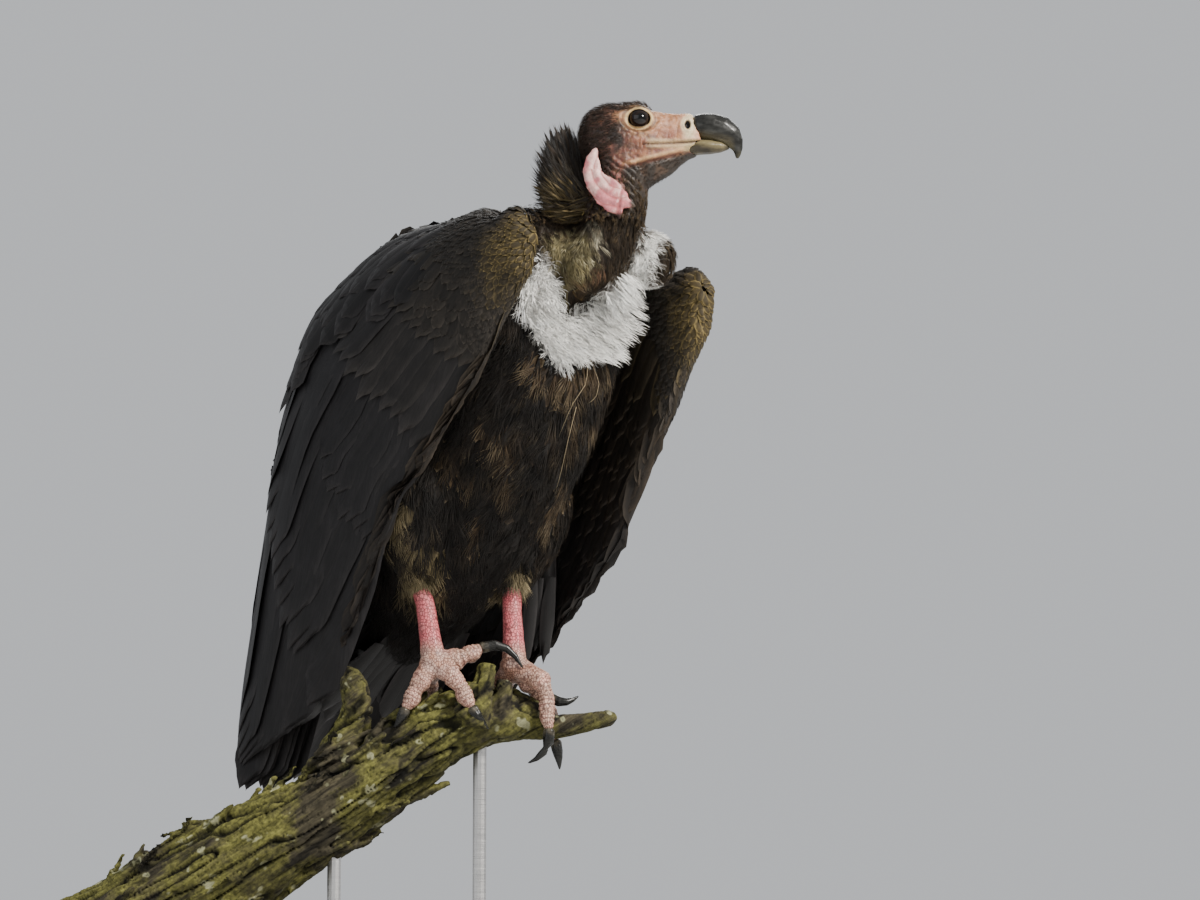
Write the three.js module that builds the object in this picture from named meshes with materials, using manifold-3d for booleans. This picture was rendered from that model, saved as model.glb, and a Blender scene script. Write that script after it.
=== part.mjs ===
// A red-headed vulture on a cut length of branch, life size, on a plain display stand.
// Millimetres, +Z up. The bird faces -Y and its left is +X. The origin is the middle of
// the stand's underside; the bird is laid out from the grip, the point between its feet.

import * as THREE from "three";
import { mergeVertices } from "three/addons/utils/BufferGeometryUtils.js";
import Module from "manifold-3d";

const wasm = await Module();
wasm.setup();

// ---- driving dimensions ------------------------------------------------------------------

const GRIP = new THREE.Vector3(20, -30, 385); // the point between the feet, from the origin
const CLEARANCE = 0.3;                        // air between neighbouring pieces

const BODY_LEAN = THREE.MathUtils.degToRad(49.7); // slope of the trunk and the folded wings
const SHOULDER = new THREE.Vector3(0, -160, 343); // where the lean is measured from

const HEAD_YAW = THREE.MathUtils.degToRad(45);    // the head looks this far to its left
const EYE_LEVEL = new THREE.Vector3(20.7, -180.5, 466);
const EYE_RADIUS = 9;
const EYE_OUT = 10.4;                             // from the head's middle plane
const EYE_DROP = 4.4;                             // eyeballs lie this far under the eye line
const CERE_FROM = 34;                             // the cere starts this far ahead of the eye
const MOUTH_LEVEL = -20.5;                        // gape line under the eye's level

const FAR_WING_DROP = 24;                         // the left wing hangs lower than the right
const WING_CUTS = [150, 352];                     // coverts | secondaries | primaries

const TARSUS_RADIUS = 9;
const TOE_RADIUS = 7.6;
const CLAW_RADIUS = 4.6;

const BASE_RADIUS = 172;
const BASE_HEIGHT = 24;
const BASE_BEVEL = 3;
const ROD_RADIUS = 6;
const ROD_PLACES = [4, -122];                     // along the branch, from the grip
const ROD_REACH = [-49, -128];                    // rod tops, before the branch trims them

// ---- places ------------------------------------------------------------------------------

const point = (x, y, z) => new THREE.Vector3(x, y, z);

/** A place in the leaning frame of the trunk: x across, down the back, and out behind it. */
function leaning(x, down, behind) {
  const sin = Math.sin(BODY_LEAN);
  const cos = Math.cos(BODY_LEAN);
  return point(x, SHOULDER.y + cos * down + sin * behind, SHOULDER.z - sin * down + cos * behind);
}

/** A place in the head's frame: ahead of the eyes, to the head's left, above the eyes. */
function onHead(ahead, left, above) {
  const sin = Math.sin(HEAD_YAW);
  const cos = Math.cos(HEAD_YAW);
  return point(ahead * sin + left * cos, -ahead * cos + left * sin, above).add(EYE_LEVEL);
}

/** A point on the line of the branch, which runs under the feet from front left to back right. */
const alongBranch = (s, height) => point(s * Math.SQRT1_2, -s * Math.SQRT1_2, height);

// ---- solids ------------------------------------------------------------------------------

/** Turns a closed geometry into a solid that can be cut and joined. */
function solidOf(geometry) {
  geometry.deleteAttribute("normal");
  geometry.deleteAttribute("uv");
  const merged = mergeVertices(geometry, 1e-4);
  const vertProperties = new Float32Array(merged.attributes.position.array);
  const triVerts = new Uint32Array(merged.index.array);
  return new wasm.Manifold(new wasm.Mesh({ numProp: 3, vertProperties, triVerts }));
}

/** The largest piece of a solid that a cut may have left in several. */
function largest(solid) {
  const pieces = solid.decompose();
  return pieces.reduce((a, b) => (a.volume() > b.volume() ? a : b));
}

const join = (...solids) => solids.reduce((a, b) => a.add(b));
const cut = (solid, ...tools) => largest(tools.reduce((a, b) => a.subtract(b), solid));

/** Puts an unjoined box between two corners, in the leaning frame or any other. */
function boxBetween(low, high, place) {
  const geometry = new THREE.BoxGeometry(high.x - low.x, high.y - low.y, high.z - low.z);
  const middle = low.clone().add(high).multiplyScalar(0.5);
  geometry.translate(middle.x, middle.y, middle.z);
  const position = geometry.attributes.position;
  for (let i = 0; i < position.count; i++) {
    const p = place(position.getX(i), position.getY(i), position.getZ(i));
    position.setXYZ(i, p.x, p.y, p.z);
  }
  return geometry;
}

/** How full a swept body is near its ends: a quarter round over the given share of it. */
function fullness(t, [head, foot]) {
  const near = Math.min(1, t / head, (1 - t) / foot);
  return Math.sqrt(Math.max(0, 1 - (1 - near) ** 2));
}

/**
 * A closed body swept along a smooth spine. Each station is { at, side, front, back }: its
 * place and its reach to either side, towards `facing` and away from it. `shape` may bend a
 * ring: it takes the ring's (side, front) in units of the reach, the place along the spine
 * and the reach itself, and returns the offset in millimetres.
 */
function swept({ stations, facing, around = 16, along = 12, ends = [0.1, 0.1], shape, grow = 0 }) {
  const spine = new THREE.CatmullRomCurve3(stations.map((s) => s.at), false, "centripetal");
  const reach = new THREE.CatmullRomCurve3(
    stations.map((s) => point(s.side, s.front, s.back)), false, "catmullrom", 0.5);
  const geometry = new THREE.SphereGeometry(1, around, along);
  const position = geometry.attributes.position;
  for (let i = 0; i < position.count; i++) {
    const unit = point(position.getX(i), position.getY(i), position.getZ(i));
    const polar = Math.acos(THREE.MathUtils.clamp(unit.y, -1, 1));
    const t = (1 - Math.cos(polar)) / 2;
    const ring = Math.hypot(unit.x, unit.z);
    const across = ring > 1e-6 ? unit.x / ring : 0;
    const ahead = ring > 1e-6 ? unit.z / ring : 0;
    const full = ring > 1e-6 ? fullness(t, ends) : 0;
    const { x: side, y: front, z: back } = reach.getPoint(t);
    const tangent = spine.getTangent(t).normalize();
    const fore = facing.clone().addScaledVector(tangent, -facing.dot(tangent)).normalize();
    const flank = fore.clone().cross(tangent);
    let offset = [across * side * full, ahead * (ahead > 0 ? front : back) * full];
    if (shape) offset = shape(across * full, ahead * full, t, { side, front, back });
    const swell = ring > 1e-6 ? grow : 0;
    const lengthwise = (t - 0.5) * 2 * grow;
    const p = spine.getPoint(t)
      .addScaledVector(flank, offset[0] + across * swell)
      .addScaledVector(fore, offset[1] + ahead * swell)
      .addScaledVector(tangent, lengthwise);
    position.setXYZ(i, p.x, p.y, p.z);
  }
  return solidOf(geometry);
}

/** Round tube of stations [place, radius]. */
function limb(stations, options) {
  const rings = stations.map(([at, radius]) => ({ at, side: radius, front: radius, back: radius }));
  return swept({ stations: rings, ...options });
}

// ---- trunk, tail, neck and ruff ----------------------------------------------------------

const FORWARD = point(0, -1, 0);
const UP = point(0, 0, 1);

/** The trunk with its coat: down the body, belly edge, back edge, half width. */
function trunk(grow = 0) {
  const outline = [
    { down: -14, belly: 8, back: 62, half: 30 },
    { down: 22, belly: -8, back: 98, half: 80 },
    { down: 61, belly: -18, back: 124, half: 98 },
    { down: 117, belly: -54, back: 158, half: 98 },
    { down: 178, belly: -74, back: 176, half: 89 },
    { down: 238, belly: -80, back: 160, half: 84 },
    { down: 302, belly: -76, back: 112, half: 74 },
    { down: 350, belly: -62, back: 72, half: 58 },
    { down: 400, belly: -38, back: 44, half: 42 },
    { down: 434, belly: -18, back: 26, half: 30 },
  ];
  const stations = outline.map(({ down, belly, back, half }) => {
    const reach = (back - belly) / 2;
    return { at: leaning(0, down, (belly + back) / 2), side: half, front: reach, back: reach };
  });
  return swept({ stations, facing: FORWARD, around: 22, along: 16, ends: [0.12, 0.08], grow });
}

/** The folded tail, a flat fan that is bowed upwards. */
function tail(grow = 0) {
  const ROOT = point(0, 84, 50);
  const TIP = point(0, 250, -92);
  const at = (t) => ROOT.clone().lerp(TIP, t);
  const stations = [
    { at: at(0), side: 28, front: 12, back: 12 },
    { at: at(0.35), side: 44, front: 9, back: 9 },
    { at: at(0.75), side: 58, front: 6.5, back: 6.5 },
    { at: at(1), side: 56, front: 5, back: 5 },
  ];
  const BOW = 14;
  const shape = (across, ahead, t, reach) =>
    [across * reach.side, ahead * reach.front - BOW * across * across];
  return swept({ stations, facing: UP, around: 14, along: 8, ends: [0.1, 0.1], shape, grow });
}

/** Neck from the crop to the skull, with the tuft of feathers before the left shoulder. */
function neck(grow = 0) {
  const stations = [
    { at: point(0, -128, 318), side: 56, front: 30, back: 36 },
    { at: point(6, -146, 344), side: 50, front: 28, back: 32 },
    { at: point(8, -162, 374), side: 31, front: 26, back: 28 },
    { at: point(9, -168, 404), side: 25, front: 24.5, back: 25 },
    { at: point(8, -168, 430), side: 22, front: 27, back: 24 },
    { at: point(3, -164, 452), side: 17, front: 18, back: 18 },
  ];
  const throat = swept({ stations, facing: point(0.55, -0.83, 0), around: 16, along: 10, ends: [0.1, 0.15], grow });
  const SHOULDER_TUFT = point(53, -160, 348);
  const TUFT_RADIUS = 28;
  const tuft = new THREE.SphereGeometry(TUFT_RADIUS + grow, 14, 10);
  tuft.translate(SHOULDER_TUFT.x, SHOULDER_TUFT.y, SHOULDER_TUFT.z);
  return throat.add(solidOf(tuft));
}

/** The collar of hackles that stands behind the neck. */
function ruff(grow = 0) {
  const stations = [
    { at: point(0, -112, 338), side: 42, front: 18, back: 16 },
    { at: point(-5, -115, 372), side: 40, front: 24, back: 24 },
    { at: point(-8, -118, 408), side: 36, front: 24, back: 31 },
    { at: point(-11, -121, 440), side: 29, front: 20, back: 31 },
    { at: point(-13, -124, 470), side: 13, front: 9, back: 14 },
  ];
  return swept({ stations, facing: point(0.3, -0.95, 0), around: 16, along: 9, ends: [0.1, 0.14], grow });
}

// ---- head --------------------------------------------------------------------------------

/** A ring of the head or bill: ahead of the eye, its top and bottom from eye level, half width. */
function headRing({ ahead, top, bottom, half }) {
  const reach = (top - bottom) / 2;
  return { at: onHead(ahead, 0, (top + bottom) / 2), side: half, front: reach, back: reach };
}

/** Skull and cere in one, with cheeks narrower at the crown than at the jaw. */
function skull(grow = 0) {
  const stations = [
    { ahead: -50, top: -8, bottom: -26, half: 10 },
    { ahead: -41, top: 6, bottom: -40, half: 18 },
    { ahead: -25, top: 12.5, bottom: -50, half: 23 },
    { ahead: -8, top: 13.5, bottom: -62, half: 22.5 },
    { ahead: 8, top: 11.5, bottom: -62, half: 19.5 },
    { ahead: 22, top: 6, bottom: -49.5, half: 15.5 },
    { ahead: 36, top: 3.5, bottom: -39.5, half: 13 },
    { ahead: 53, top: 3.2, bottom: -33.5, half: 11.8 },
  ].map(headRing);
  return swept({ stations, facing: UP, around: 18, along: 13, ends: [0.12, 0.03], grow });
}

/** The hooked upper bill. */
function upperBill(grow = 0) {
  const spine = [
    { ahead: 45, above: -9, half: 10, reach: 9.5 },
    { ahead: 55, above: -8.6, half: 11.9, reach: 11.8 },
    { ahead: 66, above: -10, half: 11, reach: 12.8 },
    { ahead: 75.5, above: -14.2, half: 9, reach: 12 },
    { ahead: 82, above: -21.5, half: 6, reach: 8.2 },
    { ahead: 85, above: -29, half: 3.2, reach: 4.2 },
    { ahead: 84.5, above: -37, half: 1.1, reach: 1.3 },
  ];
  const stations = spine.map(({ ahead, above, half, reach }) =>
    ({ at: onHead(ahead, 0, above), side: half, front: reach, back: reach }));
  const facing = point(0.35, -0.35, 1).normalize();
  return swept({ stations, facing, around: 14, along: 11, ends: [0.06, 0.04], grow });
}

/** The lower bill, which closes inside the upper one. */
function lowerBill(grow = 0) {
  const stations = [
    { ahead: 36, top: -24, bottom: -37, half: 8 },
    { ahead: 50, top: -20.5, bottom: -33.5, half: 10 },
    { ahead: 64, top: -20.5, bottom: -32.5, half: 8.4 },
    { ahead: 79, top: -24, bottom: -29.5, half: 3.4 },
  ].map(headRing);
  return swept({ stations, facing: UP, around: 12, along: 7, ends: [0.08, 0.2], grow });
}

/** A bare pink flap of skin that hangs from behind the ear, on the side -1 right or 1 left. */
function lappet(side, grow = 0) {
  const path = [
    { ahead: -36.5, above: -31, out: 19.5, half: 4 },
    { ahead: -41.5, above: -48, out: 21.5, half: 8 },
    { ahead: -37.5, above: -61, out: 23.5, half: 10.5 },
    { ahead: -27.5, above: -72, out: 25.5, half: 13 },
    { ahead: -17, above: -80, out: 26.5, half: 11.5 },
    { ahead: -8.5, above: -85, out: 27, half: 6 },
  ];
  const THICK = 2.4;
  const stations = path.map(({ ahead, above, out, half }) =>
    ({ at: onHead(ahead, side * out, above), side: half, front: THICK, back: THICK }));
  const facing = onHead(0, side, 0).sub(EYE_LEVEL);
  return swept({ stations, facing, around: 10, along: 9, ends: [0.12, 0.14], grow });
}

function eye(side, grow = 0) {
  const ball = new THREE.SphereGeometry(EYE_RADIUS + grow, 12, 8);
  const centre = onHead(0, side * EYE_OUT, -EYE_DROP);
  ball.translate(centre.x, centre.y, centre.z);
  return solidOf(ball);
}

/** Everything ahead of the cere's edge and above the gape, as a cutting block. */
const cereBlock = (grow = 0) =>
  solidOf(boxBetween(point(CERE_FROM - grow, -40, MOUTH_LEVEL - grow), point(70, 40, 40), onHead));

// ---- wings -------------------------------------------------------------------------------

/**
 * A folded wing, whole, laid out on the right side. Each ring gives its leading edge for
 * wing 0, which is closed, and wing 1, which hangs open a little; `drop` lets it hang lower.
 */
function foldedWing(which, drop, grow = 0) {
  const outline = [
    { down: -26, lead: [8, 8], trail: 30, out: 106, outer: 9, inner: 9 },
    { down: 0, lead: [-26, -34], trail: 46, out: 107, outer: 21, inner: 20 },
    { down: 42, lead: [-36, -50], trail: 92, out: 111, outer: 25, inner: 20 },
    { down: 88, lead: [-42, -60], trail: 135, out: 116, outer: 25, inner: 18 },
    { down: 140, lead: [-42, -71], trail: 188, out: 119, outer: 24, inner: 15 },
    { down: 200, lead: [-30, -77], trail: 224, out: 120, outer: 22, inner: 13 },
    { down: 270, lead: [-22, -74], trail: 200, out: 117, outer: 19, inner: 11 },
    { down: 343, lead: [-34, -64], trail: 171, out: 111, outer: 16, inner: 9 },
    { down: 417, lead: [-44, -50], trail: 135, out: 103, outer: 12, inner: 7 },
    { down: 470, lead: [-44, -42], trail: 107, out: 97, outer: 9, inner: 6 },
    { down: 523, lead: [-37, -33], trail: 77, out: 91, outer: 7, inner: 4 },
    { down: 562, lead: [-22, -22], trail: 48, out: 87, outer: 5, inner: 3 },
    { down: 590, lead: [-8, -8], trail: 16, out: 84, outer: 3, inner: 2 },
  ];
  const stations = outline.map(({ down, lead, trail, out, outer, inner }) => ({
    at: leaning(-out, down, (lead[which] + trail) / 2).add(point(0, 0, -drop)),
    side: (trail - lead[which]) / 2, front: outer, back: inner,
  }));
  const BOW_BEHIND = 0.30; // how far the trailing edge curls over the back, per unit of chord
  const BOW_AHEAD = 0.07;
  const shape = (across, ahead, t, { side, front, back }) => {
    const bow = (across < 0 ? BOW_BEHIND : BOW_AHEAD) * side * 2;
    return [across * side, ahead * (ahead > 0 ? front : back) - bow * across * across];
  };
  return swept({ stations, facing: point(-1, 0, 0), around: 16, along: 20, ends: [0.06, 0.03], shape, grow });
}

/** A slab of the leaning frame between two heights down the wing. */
function wingSlab(from, to, drop) {
  const place = (x, y, z) => leaning(-x, z, y).add(point(0, 0, -drop));
  return solidOf(boxBetween(point(0, -200, from), point(260, 320, to), place));
}

/** One side's wing, trimmed to its neighbours and parted with thin cuts. */
function wingParts(side, drop) {
  const placed = (solid) => (side === "left" ? solid.mirror([1, 0, 0]) : solid);
  const whole = trimmed(placed(foldedWing(side === "left" ? 1 : 0, drop)));
  const edges = [-80, ...WING_CUTS, 700];
  return ["coverts", "secondaries", "primaries"].map((name, i) => {
    const slab = wingSlab(edges[i] + CLEARANCE / 2, edges[i + 1] - CLEARANCE / 2, drop);
    return [name, largest(whole.intersect(placed(slab)))];
  });
}

// ---- legs --------------------------------------------------------------------------------

const LEGS = {
  right: {
    hip: point(-54, -8, 178), knee: point(-61, 6, 142), shin: point(-59, 18, 108),
    heel: point(-49, 26, 82), cuff: point(-43, 22, 66), foot: point(-41, 9, 2),
    toes: {
      inner: [point(-24, -7, 7), point(-7, -16, 16), point(19, -41, -3)],
      middle: [point(-34, -8, -9), point(-25, -24, -39), point(-13, -31, -56)],
      outer: [point(-52, 14, -13), point(-64, 21, -40), point(-70, 28, -55)],
      hind: [point(-26, 30, -4), point(-9, 50, -24), point(-3, 57, -50)],
    },
  },
  left: {
    hip: point(54, -20, 178), knee: point(57, -11, 142), shin: point(50, -7, 107),
    heel: point(41, -6, 82), cuff: point(33, -11, 67), foot: point(25, -23, 2),
    toes: {
      inner: [point(54, -31, -23), point(55, -44, -65), point(55, -49, -89)],
      middle: [point(31, -54, -14), point(31, -60, -57), point(19, -45, -85)],
      outer: [point(45, -34, -20), point(50, -45, -27), point(68, -60, -24)],
      hind: [point(28, 0, -16), point(32, 12, -40), point(27, 11, -64)],
    },
  },
};

/** The feathered thigh, which ends as a cuff round the top of the bare leg. */
function thigh(leg, grow = 0) {
  const stations = [[leg.hip, 40], [leg.knee, 39], [leg.shin, 31], [leg.heel, 20], [leg.cuff, 13]];
  return limb(stations, { facing: FORWARD, around: 12, along: 8, ends: [0.2, 0.06], grow });
}

function tarsus(leg, grow = 0) {
  const ankle = leg.heel.clone().lerp(leg.cuff, 0.3);
  const middle = leg.cuff.clone().lerp(leg.foot, 0.5);
  const stations = [
    [ankle, TARSUS_RADIUS], [leg.cuff, TARSUS_RADIUS], [middle, TARSUS_RADIUS * 0.96],
    [leg.foot, TARSUS_RADIUS * 1.45],
  ];
  return limb(stations, { facing: FORWARD, around: 10, along: 6, ends: [0.1, 0.12], grow });
}

function toe(leg, [knuckle, tip], grow = 0) {
  const stations = [
    [leg.foot.clone().lerp(knuckle, 0.15), TOE_RADIUS * 0.9], [knuckle, TOE_RADIUS],
    [knuckle.clone().lerp(tip, 0.55), TOE_RADIUS * 0.9], [tip, TOE_RADIUS * 0.78],
  ];
  return limb(stations, { facing: UP, around: 8, along: 6, ends: [0.12, 0.2], grow });
}

/** A claw that leaves the toe along it and curls towards its point. */
function claw([knuckle, tip, end], grow = 0) {
  const heading = tip.clone().sub(knuckle).normalize();
  const bend = tip.clone().addScaledVector(heading, 0.6 * end.distanceTo(tip));
  const curl = new THREE.QuadraticBezierCurve3(tip, bend, end);
  const root = tip.clone().addScaledVector(heading, -2);
  const taper = [[0.02, 1], [0.28, 0.88], [0.52, 0.66], [0.76, 0.42], [1, 0.15]];
  const stations = taper.map(([t, share]) => [curl.getPoint(t), CLAW_RADIUS * share]);
  return limb([[root, CLAW_RADIUS], ...stations],
    { facing: point(0.2, -0.3, 0.93), around: 6, along: 7, ends: [0.1, 0.05], grow });
}

// ---- perch -------------------------------------------------------------------------------

/** Ridges and hollows of old wood, as a share of the radius. */
function gnarl(angle, t) {
  return 0.10 * Math.sin(2 * angle + 9 * t) + 0.07 * Math.sin(3 * angle - 17 * t + 1.3)
    + 0.05 * Math.sin(5 * angle + 31 * t);
}

/** The branch: a twig in front, a broken knob between the feet, and a thick cut end behind. */
function branch(grow = 0) {
  const line = [
    { s: 124, height: -43, radius: 7 },
    { s: 84, height: -50, radius: 9 },
    { s: 60, height: -50, radius: 12 },
    { s: 38, height: -43, radius: 21 },
    { s: 4, height: -44, radius: 26 },
    { s: -34, height: -57, radius: 33 },
    { s: -76, height: -88, radius: 35 },
    { s: -118, height: -123, radius: 36 },
    { s: -170, height: -152, radius: 41 },
    { s: -232, height: -192, radius: 45 },
    { s: -300, height: -224, radius: 44 },
    { s: -352, height: -247, radius: 43 },
  ];
  const stations = line.map(({ s, height, radius }) =>
    ({ at: alongBranch(s, height), side: radius, front: radius, back: radius }));
  const shape = (across, ahead, t, { side }) => {
    const rough = 1 + gnarl(Math.atan2(across, ahead), t);
    return [across * side * rough, ahead * side * rough];
  };
  return swept({ stations, facing: UP, around: 13, along: 25, ends: [0.02, 0.006], shape, grow });
}

/** The dead side shoot that curls up like a horn. */
function stub(grow = 0) {
  const line = [[-118, -104, 24], [-117, -72, 20], [-103, -42, 15], [-106, -16, 13], [-114, 2, 6]];
  const stations = line.map(([s, height, radius]) =>
    ({ at: alongBranch(s, height), side: radius * 0.75, front: radius, back: radius }));
  const facing = alongBranch(1, 0);
  return swept({ stations, facing, around: 10, along: 9, ends: [0.1, 0.12], grow });
}

/** Broken snags along the top of the branch: place, height and size. */
function snags(grow = 0) {
  const places = [[8, -14, 12, 38], [-22, -64, 11, 30], [-158, -108, 14, 20], [-190, -128, 12, 22], [-246, -152, 12, 18]];
  return places.map(([s, height, radius, tall]) => {
    const cone = new THREE.ConeGeometry(radius + grow, tall + 2 * grow, 7);
    cone.rotateX(Math.PI / 2);
    cone.rotateY(-0.25);
    const p = alongBranch(s, height);
    cone.translate(p.x, p.y, p.z);
    return solidOf(cone);
  });
}

const perch = (grow = 0) => join(branch(grow), stub(grow), ...snags(grow));

// ---- stand -------------------------------------------------------------------------------

/** A round plinth with eased edges, its underside on the floor. */
function standBase() {
  const floor = -GRIP.z;
  const top = floor + BASE_HEIGHT;
  const profile = [
    new THREE.Vector2(0, floor),
    new THREE.Vector2(BASE_RADIUS - BASE_BEVEL, floor),
    new THREE.Vector2(BASE_RADIUS, floor + BASE_BEVEL),
    new THREE.Vector2(BASE_RADIUS, top - BASE_BEVEL),
    new THREE.Vector2(BASE_RADIUS - BASE_BEVEL, top),
    new THREE.Vector2(0, top),
  ];
  const geometry = new THREE.LatheGeometry(profile, 36);
  geometry.rotateX(Math.PI / 2);
  geometry.translate(-GRIP.x, -GRIP.y, 0);
  return solidOf(geometry);
}

/** A straight rod from the plinth into the branch's line, before it is trimmed. */
function standRod(i) {
  const foot = -GRIP.z + BASE_HEIGHT + CLEARANCE;
  const height = ROD_REACH[i] - foot;
  const rod = new THREE.CylinderGeometry(ROD_RADIUS, ROD_RADIUS, height, 12);
  rod.rotateX(Math.PI / 2);
  const p = alongBranch(ROD_PLACES[i], foot + height / 2);
  rod.translate(p.x, p.y, p.z);
  return solidOf(rod);
}

// ---- assembly ----------------------------------------------------------------------------

const FINISHES = {
  blackFeather: { color: 0x1c1815, roughness: 0.75, metalness: 0 },
  brownFeather: { color: 0x4a3a24, roughness: 0.85, metalness: 0 },
  redSkin: { color: 0xb0624a, roughness: 0.55, metalness: 0 },
  pinkSkin: { color: 0xd98f8e, roughness: 0.5, metalness: 0 },
  cere: { color: 0xd9ad8c, roughness: 0.45, metalness: 0 },
  horn: { color: 0x23221f, roughness: 0.3, metalness: 0 },
  eye: { color: 0x24130a, roughness: 0.05, metalness: 0 },
  bark: { color: 0x6b6434, roughness: 0.95, metalness: 0 },
  plinth: { color: 0x2b211a, roughness: 0.5, metalness: 0 },
  steel: { color: 0x8c8c8a, roughness: 0.35, metalness: 1 },
};

const bird = new THREE.Group();
bird.position.copy(GRIP);

/** Adds a solid to the bird's group as a named mesh. */
function add(name, solid, finish) {
  const { vertProperties, triVerts } = solid.getMesh();
  const geometry = new THREE.BufferGeometry();
  geometry.setAttribute("position", new THREE.BufferAttribute(new Float32Array(vertProperties), 3));
  geometry.setIndex(new THREE.BufferAttribute(new Uint32Array(triVerts), 1));
  geometry.computeVertexNormals();
  const mesh = new THREE.Mesh(geometry, new THREE.MeshStandardMaterial(FINISHES[finish]));
  mesh.name = name;
  bird.add(mesh);
}

/** Every piece placed so far, swollen by the clearance, to cut the pieces that come after. */
const taken = [];
const trimmed = (solid) => cut(solid, ...taken);

/** Places a piece: cut by all that came before it, and a cutter for all that follows. */
function place(name, make, finish) {
  add(name, trimmed(make(0)), finish);
  taken.push(make(CLEARANCE));
}

const sides = { right: -1, left: 1 };

// Head and neck
for (const [name, side] of Object.entries(sides)) place(`eye_${name}`, (g) => eye(side, g), "eye");
place("bill_upper", upperBill, "horn");
place("bill_lower", lowerBill, "horn");
const wholeSkull = trimmed(skull());
add("cere", largest(wholeSkull.intersect(cereBlock())), "cere");
add("head", cut(wholeSkull, cereBlock(CLEARANCE)), "redSkin");
taken.push(skull(CLEARANCE));
place("trunk", trunk, "blackFeather");
place("neck", neck, "redSkin");
for (const [name, side] of Object.entries(sides)) {
  place(`lappet_${name}`, (g) => lappet(side, g), "pinkSkin");
}
place("ruff", ruff, "brownFeather");

// Tail, perch and legs
place("tail", tail, "blackFeather");
place("perch_branch", perch, "bark");
for (const [name, leg] of Object.entries(LEGS)) {
  place(`thigh_${name}`, (g) => thigh(leg, g), "blackFeather");
  place(`tarsus_${name}`, (g) => tarsus(leg, g), "pinkSkin");
  for (const [which, path] of Object.entries(leg.toes)) {
    place(`toe_${name}_${which}`, (g) => toe(leg, path, g), "pinkSkin");
    place(`claw_${name}_${which}`, (g) => claw(path, g), "horn");
  }
}

// Wings
for (const [name, drop] of Object.entries({ right: 0, left: FAR_WING_DROP })) {
  for (const [part, solid] of wingParts(name, drop)) {
    add(`wing_${name}_${part}`, solid, "blackFeather");
  }
}

// Stand
ROD_PLACES.forEach((_, i) => add(`stand_rod_${i + 1}`, trimmed(standRod(i)), "steel"));
add("stand_base", standBase(), "plinth");

export default bird;
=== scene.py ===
"""A red-headed vulture gripping a cut branch, on a plain display stand, life size.

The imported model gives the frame. One skin is drawn over the bird's flesh, and every feather,
plume and bristle is a mesh laid on it, row by row, in the lie of the real plumage. Lengths are
in millimetres (mm), and places in mm from the grip, unless they are said to be in metres.
"""

import logging
import math
from contextlib import contextmanager
from dataclasses import dataclass, field
from enum import Enum
from typing import Callable, Iterator, Sequence

import bmesh
import bpy
import numpy as np
from numpy.random import default_rng
from mathutils import Matrix, Vector, noise
from mathutils.bvhtree import BVHTree


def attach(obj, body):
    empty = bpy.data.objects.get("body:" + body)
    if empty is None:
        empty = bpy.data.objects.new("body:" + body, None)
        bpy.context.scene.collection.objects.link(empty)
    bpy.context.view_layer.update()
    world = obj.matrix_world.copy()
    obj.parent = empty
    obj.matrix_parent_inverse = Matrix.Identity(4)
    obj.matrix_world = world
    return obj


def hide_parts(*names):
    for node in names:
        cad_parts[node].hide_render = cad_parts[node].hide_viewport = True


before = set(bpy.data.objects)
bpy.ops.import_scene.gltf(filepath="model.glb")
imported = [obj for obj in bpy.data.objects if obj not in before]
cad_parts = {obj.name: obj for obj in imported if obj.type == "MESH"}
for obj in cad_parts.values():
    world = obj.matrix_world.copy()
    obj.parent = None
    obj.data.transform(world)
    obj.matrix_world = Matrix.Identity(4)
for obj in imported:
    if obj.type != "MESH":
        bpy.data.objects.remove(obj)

log = logging.getLogger("vulture")

Array = np.ndarray
Spot = tuple[float, float, float]
Pair = tuple[float, float]
Colour = Spot
FromPlaces = Callable[[Array], Array]  # rows of something at rows of places
Keep = Callable[[Array, Array], Array]  # from points and normals, which of them to keep
Piece = bpy.types.Object
Mesh = bpy.types.Mesh
Material = bpy.types.Material
Socket = bpy.types.NodeSocket

MM = 0.001
GRIP = np.array([0.02, -0.03, 0.385])  # the point between the feet, metres
BODY_LEAN = math.radians(49.7)  # slope of the trunk and the folded wings
SHOULDER = np.array([0, -160, 343])
EYE_LEVEL = np.array([20.7, -180.5, 466])  # between the eyes
HEAD_YAW = math.radians(45)  # the head looks this far to its left
FAR_WING_DROP = 24  # how much lower the left wing hangs
EYE_DROP = 4.4  # the eyes lie this far under the eye line
EYE_OUT = 10.4  # an eyeball's middle, out from the head's
EYE_RADIUS = 9
BAKE_PATCH = 0.003  # width of one tuft's patch on the unwrap
PUSH_BACK = -1.03  # a smoothing round's second half, which gives thin parts their size back
MERGE = 2e-6  # corners nearer than this are one, metres
DENSITY = 1  # spacing of the small feathers, 1 for the real coat


class Side(Enum):
    """The bird's own right and left, as the sign of X."""

    RIGHT = -1
    LEFT = 1

    @property
    def word(self) -> str:
        """The side's name as it stands in the nodes' names."""
        return self.name.lower()


# ---- places ----


def place(points: Array) -> Array:
    """Turns mm from the grip into the model's metres."""
    return np.asarray(points, float) * MM + GRIP


def unplace(points: Array) -> Array:
    """The opposite of place: metres in, mm from the grip out."""
    return (np.asarray(points, float) - GRIP) / MM


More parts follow.
